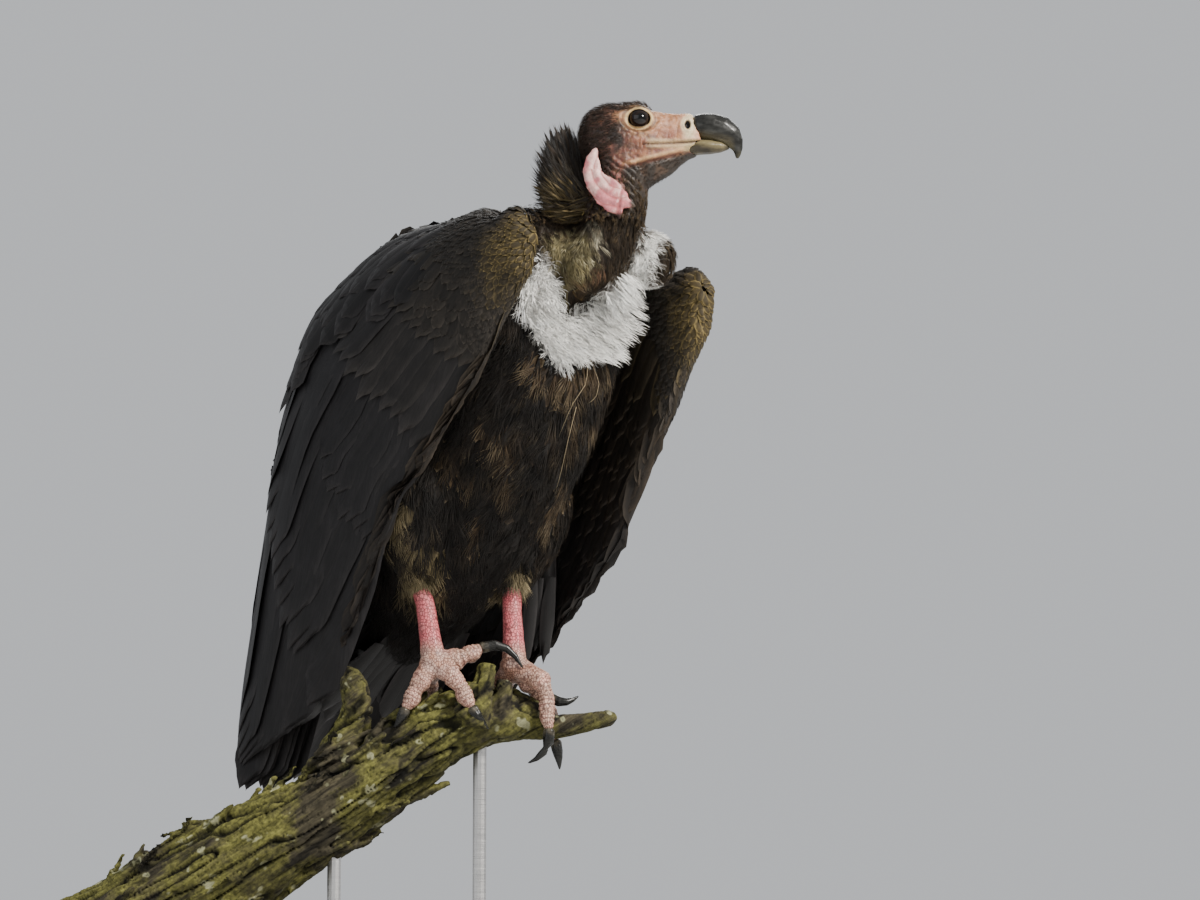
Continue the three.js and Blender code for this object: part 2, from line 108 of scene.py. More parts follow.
DOWN = np.array([0, math.cos(BODY_LEAN), -math.sin(BODY_LEAN)])
BEHIND = np.array([0, math.sin(BODY_LEAN), math.cos(BODY_LEAN)])
AHEAD_OF_HEAD = np.array([math.sin(HEAD_YAW), -math.cos(HEAD_YAW), 0])
LEFT_OF_HEAD = np.array([math.cos(HEAD_YAW), math.sin(HEAD_YAW), 0])
ABOVE = np.array([0, 0, 1])
LEFT_FRONT = np.array([0.7071, -0.7071, 0])
DRAWN_FROM = np.array([-2443.96, -2597.66, -309.02])  # the drawing of the markings, seen from there
DRAWN_RIGHT = np.array([0.70711, -0.70711, 0])
DRAWN_UP = np.array([-0.09841, -0.09841, 0.99027])
DRAWN_AHEAD = np.array([0.70023, 0.70023, 0.13917])
DRAWN_SCALE = 3600


def leaning(x: Array, down: Array, behind: Array) -> Array:
    """A place in the trunk's leaning frame.

    Args:
        x: Across the body, left positive.
        down: Down the line of the back from the shoulder.
        behind: Out behind that line.

    Returns:
        Rows of x, y, z.
    """
    x, down, behind = np.broadcast_arrays(*(np.asarray(v, float) for v in (x, down, behind)))
    point = SHOULDER + down[..., None] * DOWN + behind[..., None] * BEHIND
    point[..., 0] = x
    return point


def lean_of(points: Array) -> tuple[Array, Array]:
    """How far down and behind the shoulder points lie."""
    offset = points - SHOULDER
    return offset @ DOWN, offset @ BEHIND


def on_head(ahead: Array, left: Array, above: Array) -> Array:
    """A place ahead, left and above of the eyes."""
    ahead, left, above = np.broadcast_arrays(*(np.asarray(v, float) for v in (ahead, left, above)))
    return (EYE_LEVEL + ahead[..., None] * AHEAD_OF_HEAD + left[..., None] * LEFT_OF_HEAD
            + (above[..., None] - EYE_DROP) * ABOVE)


def head_frame(points: Array) -> tuple[Array, Array, Array]:
    """Ahead, left and above of the eyes."""
    offset = points - EYE_LEVEL
    return offset @ AHEAD_OF_HEAD, offset @ LEFT_OF_HEAD, offset @ ABOVE + EYE_DROP


def unit(vectors: Array) -> Array:
    """Vectors of length one along the last axis."""
    return vectors / np.maximum(np.linalg.norm(vectors, axis=-1, keepdims=True), 1e-12)


def smooth(low: float, high: float, value: Array) -> Array:
    """A soft step from 0 at low to 1 at high."""
    t = np.clip((np.asarray(value, float) - low) / (high - low), 0, 1)
    return t * t * (3 - 2 * t)


def hump(middle: float, reach: float, value: Array) -> Array:
    """A soft bump, 1 at the middle and gone at the reach."""
    return smooth(0, 1, 1 - np.abs(np.asarray(value, float) - middle) / reach)


def blend(a: Array, b: Array, share: Array) -> Array:
    """Mixes two sets of rows by a share for each row."""
    share = np.asarray(share, float)[..., None]
    return np.asarray(a, float) * (1 - share) + np.asarray(b, float) * share


def blend_pair(pair: tuple[Array, Array], base: Array, fringe: Array, share: Array) -> tuple[Array, Array]:
    """Mixes a base and a fringe colour into a pair of them by a share for each row."""
    return blend(pair[0], base, share), blend(pair[1], fringe, share)


def mottle(points: Array, size: float, seed: float = 0) -> Array:
    """Soft noise from about -1 to 1 over places, with blotches of a size in mm."""
    shift = Vector((seed * 7.3, seed * 3.1, seed * 11.7))
    return np.array([noise.noise(Vector(p) / size + shift) for p in points.tolist()])


def to_line(points: Array, start: Sequence[float], end: Sequence[float]) -> tuple[Array, Array]:
    """How far points lie from a line, and their share of the way along it."""
    start, end = np.asarray(start, float), np.asarray(end, float)
    along = np.clip((points - start) @ (end - start) / ((end - start) @ (end - start)), 0, 1)
    return np.linalg.norm(points - start - along[..., None] * (end - start), axis=-1), along


def laid_out(points: Array) -> Array:
    """Where places fall on the drawing of the bird from three quarters ahead: rows of across and up."""
    offset = points - DRAWN_FROM
    scale = DRAWN_SCALE / (offset @ DRAWN_AHEAD)
    return np.stack([offset @ DRAWN_RIGHT * scale, offset @ DRAWN_UP * scale], axis=1)


def inside(points: Array, outline: Sequence[Pair], soft: float, ragged: float) -> Array:
    """How far places lie inside an outline on that drawing.

    Args:
        points: The places.
        outline: The outline's corners, across and up.
        soft: The half width of its soft edge.
        ragged: How far noise pushes the edge in and out.

    Returns:
        1 inside, 0 outside and a soft step between.
    """
    spot = laid_out(points)
    corner = np.array(outline, float)
    following = np.roll(corner, -1, axis=0)
    away = np.full(len(spot), np.inf)
    within = np.zeros(len(spot), bool)
    for a, b in zip(corner, following):
        away = np.minimum(away, to_line(spot, a, b)[0])
        crosses = (a[1] > spot[:, 1]) != (b[1] > spot[:, 1])
        slope = (b[0] - a[0]) / (b[1] - a[1]) if b[1] != a[1] else 0
        within ^= crosses & (spot[:, 0] < a[0] + slope * (spot[:, 1] - a[1]))
    return smooth(-soft, soft, np.where(within, away, -away) + ragged * mottle(points, 8, 1))


# ---- meshes ----


def link(name: str, mesh: Mesh) -> Piece:
    """Puts a mesh in the scene under a name."""
    mesh.name = name
    piece = bpy.data.objects.new(name, mesh)
    bpy.context.scene.collection.objects.link(piece)
    return piece


def corners(mesh: Mesh) -> Array:
    """The mesh's points as rows."""
    flat = np.zeros(len(mesh.vertices) * 3)
    mesh.vertices.foreach_get("co", flat)
    return flat.reshape(-1, 3)


def move_corners(mesh: Mesh, points: Array) -> None:
    """Writes rows of points back to a mesh."""
    mesh.vertices.foreach_set("co", np.ascontiguousarray(points, np.float32).ravel())
    mesh.update()


def corner_normals(mesh: Mesh) -> Array:
    """The mesh's smooth normals as rows."""
    flat = np.zeros(len(mesh.vertices) * 3, np.float32)
    mesh.vertex_normals.foreach_get("vector", flat)
    return flat.reshape(-1, 3).astype(float)


def whole_numbers(items: Sequence, key: str, each: int = 1) -> Array:
    """One property of all of a mesh's edges, faces or face corners, with so many numbers each."""
    values = np.zeros(len(items) * each, np.int32)
    items.foreach_get(key, values)
    return values


@contextmanager
def shaping(mesh: Mesh) -> Iterator[bmesh.types.BMesh]:
    """Opens a mesh for shaping, and writes it back at the end."""
    shape = bmesh.new()
    shape.from_mesh(mesh)
    yield shape
    shape.to_mesh(mesh)
    shape.free()


def add_rod(shape: bmesh.types.BMesh, start: Array, end: Array, radii: Pair, sides: int) -> None:
    """Adds a tapered rod from one place to another to a shape; its radii are in mm."""
    start, end = (Vector(place(np.array(at, float))) for at in (start, end))
    turn = (end - start).to_track_quat("Z", "Y").to_matrix().to_4x4()
    bmesh.ops.create_cone(shape, cap_ends=True, segments=sides, radius1=radii[0] * MM, radius2=radii[1] * MM,
                          depth=(end - start).length, matrix=Matrix.Translation((start + end) / 2) @ turn)


def solid_from(nodes: Sequence[str], name: str) -> Piece:
    """A new object of merged copies of CAD nodes.

    Args:
        nodes: The nodes to copy.
        name: The new object's name.

    Returns:
        An object of closed shells.
    """
    mesh = bpy.data.meshes.new(name)
    with shaping(mesh) as shape:
        for node in nodes:
            shape.from_mesh(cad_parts[node].data)
        bmesh.ops.remove_doubles(shape, verts=shape.verts, dist=MERGE)
    return link(name, mesh)


def apply_modifiers(piece: Piece) -> None:
    """Bakes an object's modifiers into its mesh."""
    graph = bpy.context.evaluated_depsgraph_get()
    mesh = bpy.data.meshes.new_from_object(piece.evaluated_get(graph))
    piece.modifiers.clear()
    old, piece.data = piece.data, mesh
    bpy.data.meshes.remove(old)


def remesh(piece: Piece, voxel: float) -> None:
    """Replaces an object's surface by an even grid of that size, in metres."""
    modifier = piece.modifiers.new("even", "REMESH")
    modifier.mode = "VOXEL"
    modifier.voxel_size = voxel
    apply_modifiers(piece)


def unite(piece: Piece, *others: Piece) -> None:
    """Joins closed objects into the first as one closed surface, and drops the others."""
    for other in others:
        modifier = piece.modifiers.new("union", "BOOLEAN")
        modifier.operation = "UNION"
        modifier.solver = "MANIFOLD"
        modifier.object = other
        apply_modifiers(piece)
        bpy.data.objects.remove(other)


def relax(mesh: Mesh, rounds: int, pull: float = 0.5, keep: bool = False) -> None:
    """Smooths a mesh by drawing each point towards its neighbours' middle.

    Args:
        mesh: The mesh to smooth.
        rounds: How many times.
        pull: The share of the way to go each time.
        keep: Whether each round also pushes back, so that tips and thin parts stay.
    """
    a, b = whole_numbers(mesh.edges, "vertices", 2).reshape(-1, 2).T
    ends = np.concatenate([a, b])
    points = corners(mesh)
    count = np.maximum(np.bincount(ends, minlength=len(points)), 1)[:, None]
    for way in [1, PUSH_BACK] * rounds if keep else [1] * rounds:
        others = np.concatenate([points[b], points[a]])
        total = np.stack([np.bincount(ends, others[:, i], len(points)) for i in range(3)], axis=1)
        points += (total / count - points) * pull * way
    move_corners(mesh, points)


class Hull:
    """A smooth closed surface that feathers are laid on."""

    def __init__(self, piece: Piece) -> None:
        """Reads an object's surface and then drops the object."""
        mesh = piece.data
        mesh.calc_loop_triangles()
        self.points = corners(mesh)
        self.triangles = whole_numbers(mesh.loop_triangles, "vertices", 3).reshape(-1, 3)
        normals = corner_normals(mesh)
        self.normals = unit(normals[self.triangles].sum(axis=1))
        self.tree = BVHTree.FromPolygons(self.points.tolist(), self.triangles.tolist())
        bpy.data.objects.remove(piece)

    @classmethod
    def of(cls, nodes: Sequence[str], voxel: float, rounds: int) -> "Hull":
        """The smoothed joint surface of some CAD nodes.

        Args:
            nodes: The nodes.
            voxel: The grid that joins them, in metres.
            rounds: How often it is smoothed.

        Returns:
            The hull.
        """
        piece = solid_from(nodes, "hull")
        remesh(piece, voxel)
        relax(piece.data, rounds)
        return cls(piece)

    def settle(self, points: Array) -> tuple[Array, Array]:
        """The nearest places on the surface, and the smooth normals there."""
        found = [self.tree.find_nearest(p) for p in points.tolist()]
        index = np.array([f[2] for f in found])
        return np.array([tuple(f[0]) for f in found]), self.normals[index]

    def outside_by(self, points: Array) -> Array:
        """How far points stand off the surface, negative inside."""
        near, normals = self.settle(points)
        return np.einsum("ij,ij->i", points - near, normals)

    def cast(self, starts: Array, headings: Array) -> tuple[Array, Array, Array]:
        """Where lines meet the surface.

        Args:
            starts: Rows of starting points.
            headings: One direction, or one for each line.

        Returns:
            The places, the normals there and how far each line ran, infinite where it missed.
        """
        headings = np.broadcast_to(headings, starts.shape)
        found = [self.tree.ray_cast(p, h) for p, h in zip(starts.tolist(), headings.tolist())]
        places = np.array([tuple(f[0]) if f[0] is not None else (0, 0, 0) for f in found], float)
        index = np.array([f[2] if f[2] is not None else 0 for f in found])
        run = np.array([f[3] if f[3] is not None else math.inf for f in found])
        return places, self.normals[index], run

    def scatter(self, spacing: float, seed: int, keep: Keep) -> tuple[Array, Array]:
        """Spreads points over the surface at least a spacing apart.

        Args:
            spacing: The least distance between points.
            seed: The seed of the draw.
            keep: From points and normals, which of them may stay.

        Returns:
            Points in metres and the smooth normals there.
        """
        rng = default_rng(seed)
        gap = spacing * MM * DENSITY
        a, b, c = (self.points[self.triangles[:, i]] for i in range(3))
        area = np.linalg.norm(np.cross(b - a, c - a), axis=1) / 2
        pick = rng.choice(len(area), int(area.sum() / gap**2 * 2.6), p=area / area.sum())
        u, v = rng.random((2, len(pick), 1))
        u, v = np.where(u + v > 1, 1 - u, u), np.where(u + v > 1, 1 - v, v)
        points = a[pick] + (b - a)[pick] * u + (c - a)[pick] * v
        wanted = keep(unplace(points), self.normals[pick])
        points, pick = points[wanted], pick[wanted]
        chosen = thin_out(points, gap)
        return points[chosen], self.normals[pick[chosen]]


NEAR_CELLS = [(i, j, k) for i in (-1, 0, 1) for j in (-1, 0, 1) for k in (-1, 0, 1)]


def thin_out(points: Array, spacing: float) -> Array:
    """Indices of points of which no two are closer than the spacing."""
    cells: dict[tuple[int, int, int], list[list[float]]] = {}
    limit = spacing * spacing
    chosen = []
    rows = zip(points.tolist(), (points // spacing).astype(int).tolist())
    for n, ((x, y, z), (i, j, k)) in enumerate(rows):
        near = (q for di, dj, dk in NEAR_CELLS for q in cells.get((i + di, j + dj, k + dk), ()))
        if any((x - q[0]) ** 2 + (y - q[1]) ** 2 + (z - q[2]) ** 2 < limit for q in near):
            continue
        cells.setdefault((i, j, k), []).append([x, y, z])
        chosen.append(n)
    return np.array(chosen, int)


# ---- feathers ----


@dataclass(frozen=True)
class Pattern:
    """One feather's closed shape: places across (-1 to 1), along (0 to 1) and above, and faces."""

    across: Array
    along: Array
    above: Array  # in half widths
    faces: Array  # rows of four corners, the last one repeated in a triangle
    edge: Array  # how much of the fringe's colour each place takes
    own: Array  # each place on the feather's own map
    rim: Array  # which places lie on the sharp outline


def vane(rows: int, columns: int, blunt: float = 0.3, waist: float = 0.4, cup: float = 0.1,
         thick: float = 0.03, point: float = 2) -> Pattern:
    """A whole flat feather, closed above and below, round at the tip.

    Args:
        rows: Faces along it.
        columns: Faces across it.
        blunt: The share of its length that the tip takes.
        waist: Its width at the root, as a share of the full width.
        cup: How far its edges curl down, in half widths.
        thick: Half its thickness at the shaft, in half widths.
        point: The tip's roundness, 2 for a half circle and less for a sharper tip.

    Returns:
        The pattern.
    """
    t = np.repeat(1 - (1 - np.linspace(0, 1, rows + 1)) ** 1.4, columns + 1)
    s = np.tile(np.linspace(-1, 1, columns + 1), rows + 1)
    tip = np.clip(1 - np.clip((t - 1 + blunt) / blunt, 0, 1) ** point, 0, 1) ** (1 / 2)
    width = (waist + (1 - waist) * smooth(0, 0.4, t)) * np.maximum(tip, 0.07)
    across = s * width
    along = t - s**2 * 0.08 * t**6
    body = thick * (1 - s**2) + thick * 1.5 * np.exp(-(s / 0.12) ** 2) * (1 - t)
    grid = np.arange((rows + 1) * (columns + 1)).reshape(rows + 1, columns + 1)
    inner = np.zeros(grid.shape, bool)
    inner[1:-1, 1:-1] = True
    rim = ~inner.ravel()
    body = np.where(rim, 0, body)
    under = grid.copy()
    under[inner] = grid.size + np.arange(inner.sum())
    upper, lower = (np.stack([g[:-1, :-1], g[:-1, 1:], g[1:, 1:], g[1:, :-1]], -1).reshape(-1, 4)
                    for g in (grid, under))
    curl = -cup * across**2
    copy = ~rim
    edge = np.maximum(np.abs(s) ** 5 * 0.8, smooth(0.88, 1, t))
    own = np.stack([s / 2 + 0.5, t], axis=1)
    return Pattern(np.append(across, across[copy]), np.append(along, along[copy]),
                   np.append(curl + body, curl[copy] - thick * (1 - s[copy] ** 2)),
                   np.concatenate([upper, lower[:, [0, 3, 2, 1]]]), np.append(edge, edge[copy]),
                   np.concatenate([own, own[copy]]), np.append(rim, np.zeros(copy.sum(), bool)))


def plume(strands: int, segments: int, thick: float, spread: float, seed: int, loose: float = 0.12,
          start: float = 0.35) -> Pattern:
    """A soft feather as a spray of fine three-sided spikes off one root.

    Args:
        strands: The number of spikes.
        segments: Steps along each spike.
        thick: A spike's half width at its root, in half widths.
        spread: How far the outer spikes swing out.
        seed: The seed of the spikes' unevenness.
        loose: How unevenly they lie.
        start: How far up the feather the spikes may set off.

    Returns:
        The pattern.
    """
    rng = default_rng(seed)
    across, along, above, own, faces, edge = [], [], [], [], [], []
    for k in range(strands):
        swing = (2 * (k + 0.5) / strands - 1) * spread + rng.normal(0, loose) if strands > 1 else 0
        first = rng.uniform(0, start) if strands > 1 else 0
        last = 1 - 0.22 * min(abs(swing), 1) ** 1.5 - rng.uniform(0, 0.16) * (strands > 1)
        lift, bend = rng.normal(0, 1.2 * loose), rng.normal(0, loose)
        base = len(across)
        for i in range(segments + 1):
            u = i / segments
            middle = swing * u**0.8 + bend * math.sin(math.pi * u)
            half = thick * (1 - u) ** 0.6
            ring = ((-1, 0, 0), (1, 0, 1), (0, 0.9, 0.5)) if i < segments else ((0, 0, 0.5),)
            for side, up, place_across in ring:
                across.append(middle + side * half)
                along.append(first + (last - first) * u)
                above.append(lift * u + up * half)
                own.append((place_across, u - (0.05 if up and not i else 0)))
                edge.append(float(smooth(0.3, 1, u)))
        for i in range(segments - 1):
            a = base + 3 * i
            faces += [(a, a + 2, a + 5, a + 3), (a + 2, a + 1, a + 4, a + 5), (a + 1, a, a + 3, a + 4)]
        a, tip = base + 3 * (segments - 1), base + 3 * segments
        faces += [(a, a + 2, tip, tip), (a + 2, a + 1, tip, tip), (a + 1, a, tip, tip)]
        faces.append((base, base + 1, base + 2, base + 2))
    arrays = [np.array(v, float) for v in (across, along, above)]
    own = np.array(own) * (1, 0.94) + (0, 0.05)
    return Pattern(*arrays, np.array(faces), np.array(edge), own, np.zeros(len(across), bool))


@dataclass
class Lay:
    """Where a set of feathers lies: rows of places down each one, and the normals there."""

    points: Array  # feathers, stations, 3
    normals: Array
    width: Array  # metres, one for each feather

    @property
    def roots(self) -> Array:
        """The feathers' roots."""
        return unplace(self.points[:, 0])


def comb(hull: Hull, roots: Array, flow: FromPlaces, length: Array, width: Array,
         rise: tuple[Array, Array], stations: int, stray: Array, bow: float = 1) -> Lay:
    """Lays feathers along a surface from their roots.

    Args:
        hull: The surface.
        roots: The roots, in metres.
        flow: The lie of the plumage, from places.
        length: Each feather's length.
        width: Each feather's width.
        rise: Height over the surface at the root and the tip.
        stations: The number of steps along each feather.
        stray: How far each feather is turned from the flow, in radians.
        bow: Above 1 the tip lifts late, below 1 early.

    Returns:
        The lay.
    """
    at, normal = hull.settle(roots)
    length = np.broadcast_to(np.asarray(length, float), len(roots))
    width = np.broadcast_to(np.asarray(width, float), len(roots))
    step = (length * MM / stations)[:, None]
    points, normals = [], []
    for i in range(stations + 1):
        t = i / stations
        height = np.broadcast_to(rise[0] + (rise[1] - rise[0]) * t**bow, len(at))
        points.append(at + normal * height[:, None] * MM)
        normals.append(normal)
        if i == stations:
            break
        heading = unit(np.broadcast_to(flow(unplace(at)), at.shape))
        heading = unit(heading - np.einsum("ij,ij->i", heading, normal)[:, None] * normal)
        heading = heading * np.cos(stray)[:, None] + np.cross(normal, heading) * np.sin(stray)[:, None]
        at, normal = hull.settle(at + heading * step)
    return Lay(np.stack(points, 1), np.stack(normals, 1), width * MM)


def spray(roots: Array, normals: Array, heading: Array, length: Array, width: Array, curl: float,
          stations: int = 3) -> Lay:
    """Lays feathers that stand free of the surface.

    Args:
        roots: The roots, in metres.
        normals: The way each feather's upper face looks.
        heading: The way each feather sets off.
        length: Each feather's length.
        width: Each feather's width.
        curl: How far the feathers bend towards or away from their normals, in radians.
        stations: The number of steps along each feather.

    Returns:
        The lay.
    """
    length = np.broadcast_to(np.asarray(length, float), len(roots))
    width = np.broadcast_to(np.asarray(width, float), len(roots))
    heading = unit(heading)
    normal = unit(normals - np.einsum("ij,ij->i", normals, heading)[:, None] * heading)
    at, points, faces = roots, [], []
    for i in range(stations + 1):
        points.append(at)
        turn = curl * i / stations
        ahead = heading * math.cos(turn) + normal * math.sin(turn)
        faces.append(normal * math.cos(turn) - heading * math.sin(turn))
        at = at + ahead * (length * MM / stations)[:, None]
    return Lay(np.stack(points, 1), np.stack(faces, 1), width * MM)


@dataclass
class Plumage:
    """A coat piece in the making: feathers are added to it, and it becomes one mesh."""

    name: str
    finish: "FeatherFinish"
    unwrap: FromPlaces  # roots' places on the unwrapped skin
    chunks: list[tuple] = field(default_factory=list)

    def add(self, pattern: Pattern, lay: Lay, base: Array, fringe: Array, tilt: float = 0,
            ragged: float = 0, seed: int = 1, uneven: float = 0.12) -> None:
        """Adds a set of feathers of one pattern.

        Args:
            pattern: The feather's shape.
            lay: Where the feathers lie.
            base: Each feather's colour.
            fringe: The colour of each one's edge and tip.
            tilt: How far one edge stands over the other.
            ragged: How uneven the outline is, as a share of the width.
            seed: The seed of that unevenness.
            uneven: How far the feathers differ in depth of colour.
        """
        if not len(lay.points):
            return
        rng = default_rng(seed)
        stations = lay.points.shape[1] - 1
        at = np.clip(pattern.along, 0, 1) * stations
        low = np.minimum(at.astype(int), stations - 1)
        share = (at - low)[None, :, None]
        start, end = lay.points[:, low], lay.points[:, low + 1]
        middle = start + (end - start) * share
        normal = unit(lay.normals[:, low] * (1 - share) + lay.normals[:, low + 1] * share)
        side = unit(np.cross(unit(end - start), normal))
        half = lay.width[:, None] / 2
        across = np.broadcast_to(pattern.across, (len(half), len(pattern.across)))
        if ragged:
            across = across * (1 - ragged * rng.random(across.shape) * pattern.rim)
        lift = pattern.above * half + across * (tilt * MM)
        points = middle + side * (across * half)[..., None] + normal * lift[..., None]
        depth = (1 + uneven * rng.normal(size=(len(half), 1, 1))).clip(0.5, 1.6)
        base, fringe = (np.broadcast_to(c, (len(half), 3))[:, None, :] for c in (base, fringe))
        colour = blend(base, fringe, np.broadcast_to(pattern.edge, across.shape)) * depth
        self.chunks.append((points, colour, pattern, self.unwrap(lay.roots)))

    @property
    def count(self) -> int:
        """The number of feathers so far."""
        return sum(len(points) for points, *_ in self.chunks)

    def build(self) -> Piece:
        """Joins all the feathers into one dressed mesh."""
        places = spread_out(np.concatenate([chunk[3] for chunk in self.chunks]))
        points, colours, bakes, owns, loops, sizes, rims = [], [], [], [], [], [], []
        base = done = 0
        for chunk_points, colour, pattern, _ in self.chunks:
            number, each = chunk_points.shape[:2]
            index = (pattern.faces[None] + (base + np.arange(number) * each)[:, None, None]).reshape(-1, 4)
            triangle = index[:, 2] == index[:, 3]
            keep = np.ones(index.shape, bool)
            keep[triangle, 3] = False
            loops.append(index[keep])
            sizes.append(np.where(triangle, 3, 4))
            patch = (pattern.own - 0.5) * BAKE_PATCH
            bake = places[done:done + number, None, :] + patch[None]
            own = np.broadcast_to(pattern.own, bake.shape)
            for store, values in ((points, chunk_points), (colours, colour), (bakes, bake), (owns, own)):
                store.append(values.reshape(-1, values.shape[-1]))
            rims.append(np.tile(pattern.rim, number))
            base += number * each
            done += number
        points, colours, bakes, owns, loops, sizes, rims = (
            np.concatenate(v) for v in (points, colours, bakes, owns, loops, sizes, rims))
        mesh = mesh_of(self.name, points, loops, sizes)
        sharpen(mesh, rims)
        add_layer(mesh, "vane", owns[loops])
        add_layer(mesh, "OFBake", bakes[loops])
        add_tint(mesh, colours)
        mesh.materials.append(self.finish.material())
        log.info("%s: %d feathers, %d triangles", self.name, self.count, int((sizes - 2).sum()))
        return link(self.name, mesh)


def mesh_of(name: str, points: Array, loops: Array, sizes: Array) -> Mesh:
    """A mesh from joined arrays of points, face corners and face sizes."""
    mesh = bpy.data.meshes.new(name)
    mesh.vertices.add(len(points))
    mesh.vertices.foreach_set("co", points.astype(np.float32).ravel())
    mesh.loops.add(len(loops))
    mesh.loops.foreach_set("vertex_index", loops.astype(np.int32))
    mesh.polygons.add(len(sizes))
    mesh.polygons.foreach_set("loop_start", np.concatenate([[0], np.cumsum(sizes)[:-1]]).astype(np.int32))
    mesh.update(calc_edges=True)
    return mesh


def sharpen(mesh: Mesh, rim: Array) -> None:
    """Marks the edges between points of a feather's outline as sharp."""
    edges = whole_numbers(mesh.edges, "vertices", 2).reshape(-1, 2)
    mesh.attributes.new("sharp_edge", "BOOLEAN", "EDGE").data.foreach_set("value", rim[edges].all(axis=1))


def add_layer(mesh: Mesh, name: str, values: Array) -> None:
    """Adds a UV map with one place for each face corner."""
    layer = mesh.uv_layers.new(name=name)
    layer.uv.foreach_set("vector", values.astype(np.float32).ravel())


def add_tint(mesh: Mesh, colours: Array) -> None:
    """Shades a mesh smooth and adds the colours that finishes read, one for each point."""
    mesh.polygons.foreach_set("use_smooth", np.ones(len(mesh.polygons), bool))
    layer = mesh.color_attributes.new("tint", "FLOAT_COLOR", "POINT")
    full = np.concatenate([np.clip(colours, 0, 1), np.ones((len(colours), 1))], axis=1)
    layer.data.foreach_set("color", full.astype(np.float32).ravel())


def spread_out(values: Array) -> Array:
    """Columns stretched to fill 0.01 to 0.99, for an unwrap."""
    low, high = values.min(axis=0), values.max(axis=0)
    return 0.01 + 0.98 * (values - low) / np.maximum(high - low, 1e-9)


def round_body(points: Array) -> Array:
    """Unwraps places on the trunk, neck and legs: round its axis, and down it."""
    down, behind = lean_of(points)
    return np.stack([np.arctan2(points[:, 0], 40 - behind), down], axis=1)


def round_wing(points: Array) -> Array:
    """Unwraps places on a wing: round its section, and down it."""
    down, behind = lean_of(points)
    return np.stack([np.arctan2(np.abs(points[:, 0]) - 108, behind - 55), down], axis=1)


def round_head(points: Array) -> Array:
    """Unwraps places on the head and ruff: round the neck's axis, and up it."""
    return np.stack([np.arctan2(points[:, 0] - 8, -150 - points[:, 1]), points[:, 2]], axis=1)


def show(piece: Piece, slot: str, *nodes: str) -> Piece:
    """Fixes a finished piece to the body, hides the CAD nodes that it stands for and logs them."""
    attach(piece, "root")
    if nodes:
        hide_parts(*nodes)
    triangles = sum(len(face.vertices) - 2 for face in piece.data.polygons)
    log.info("%s: %d triangles, for %s", piece.name, triangles, ", ".join(nodes) or "itself")
    return piece


# ---- finishes ----


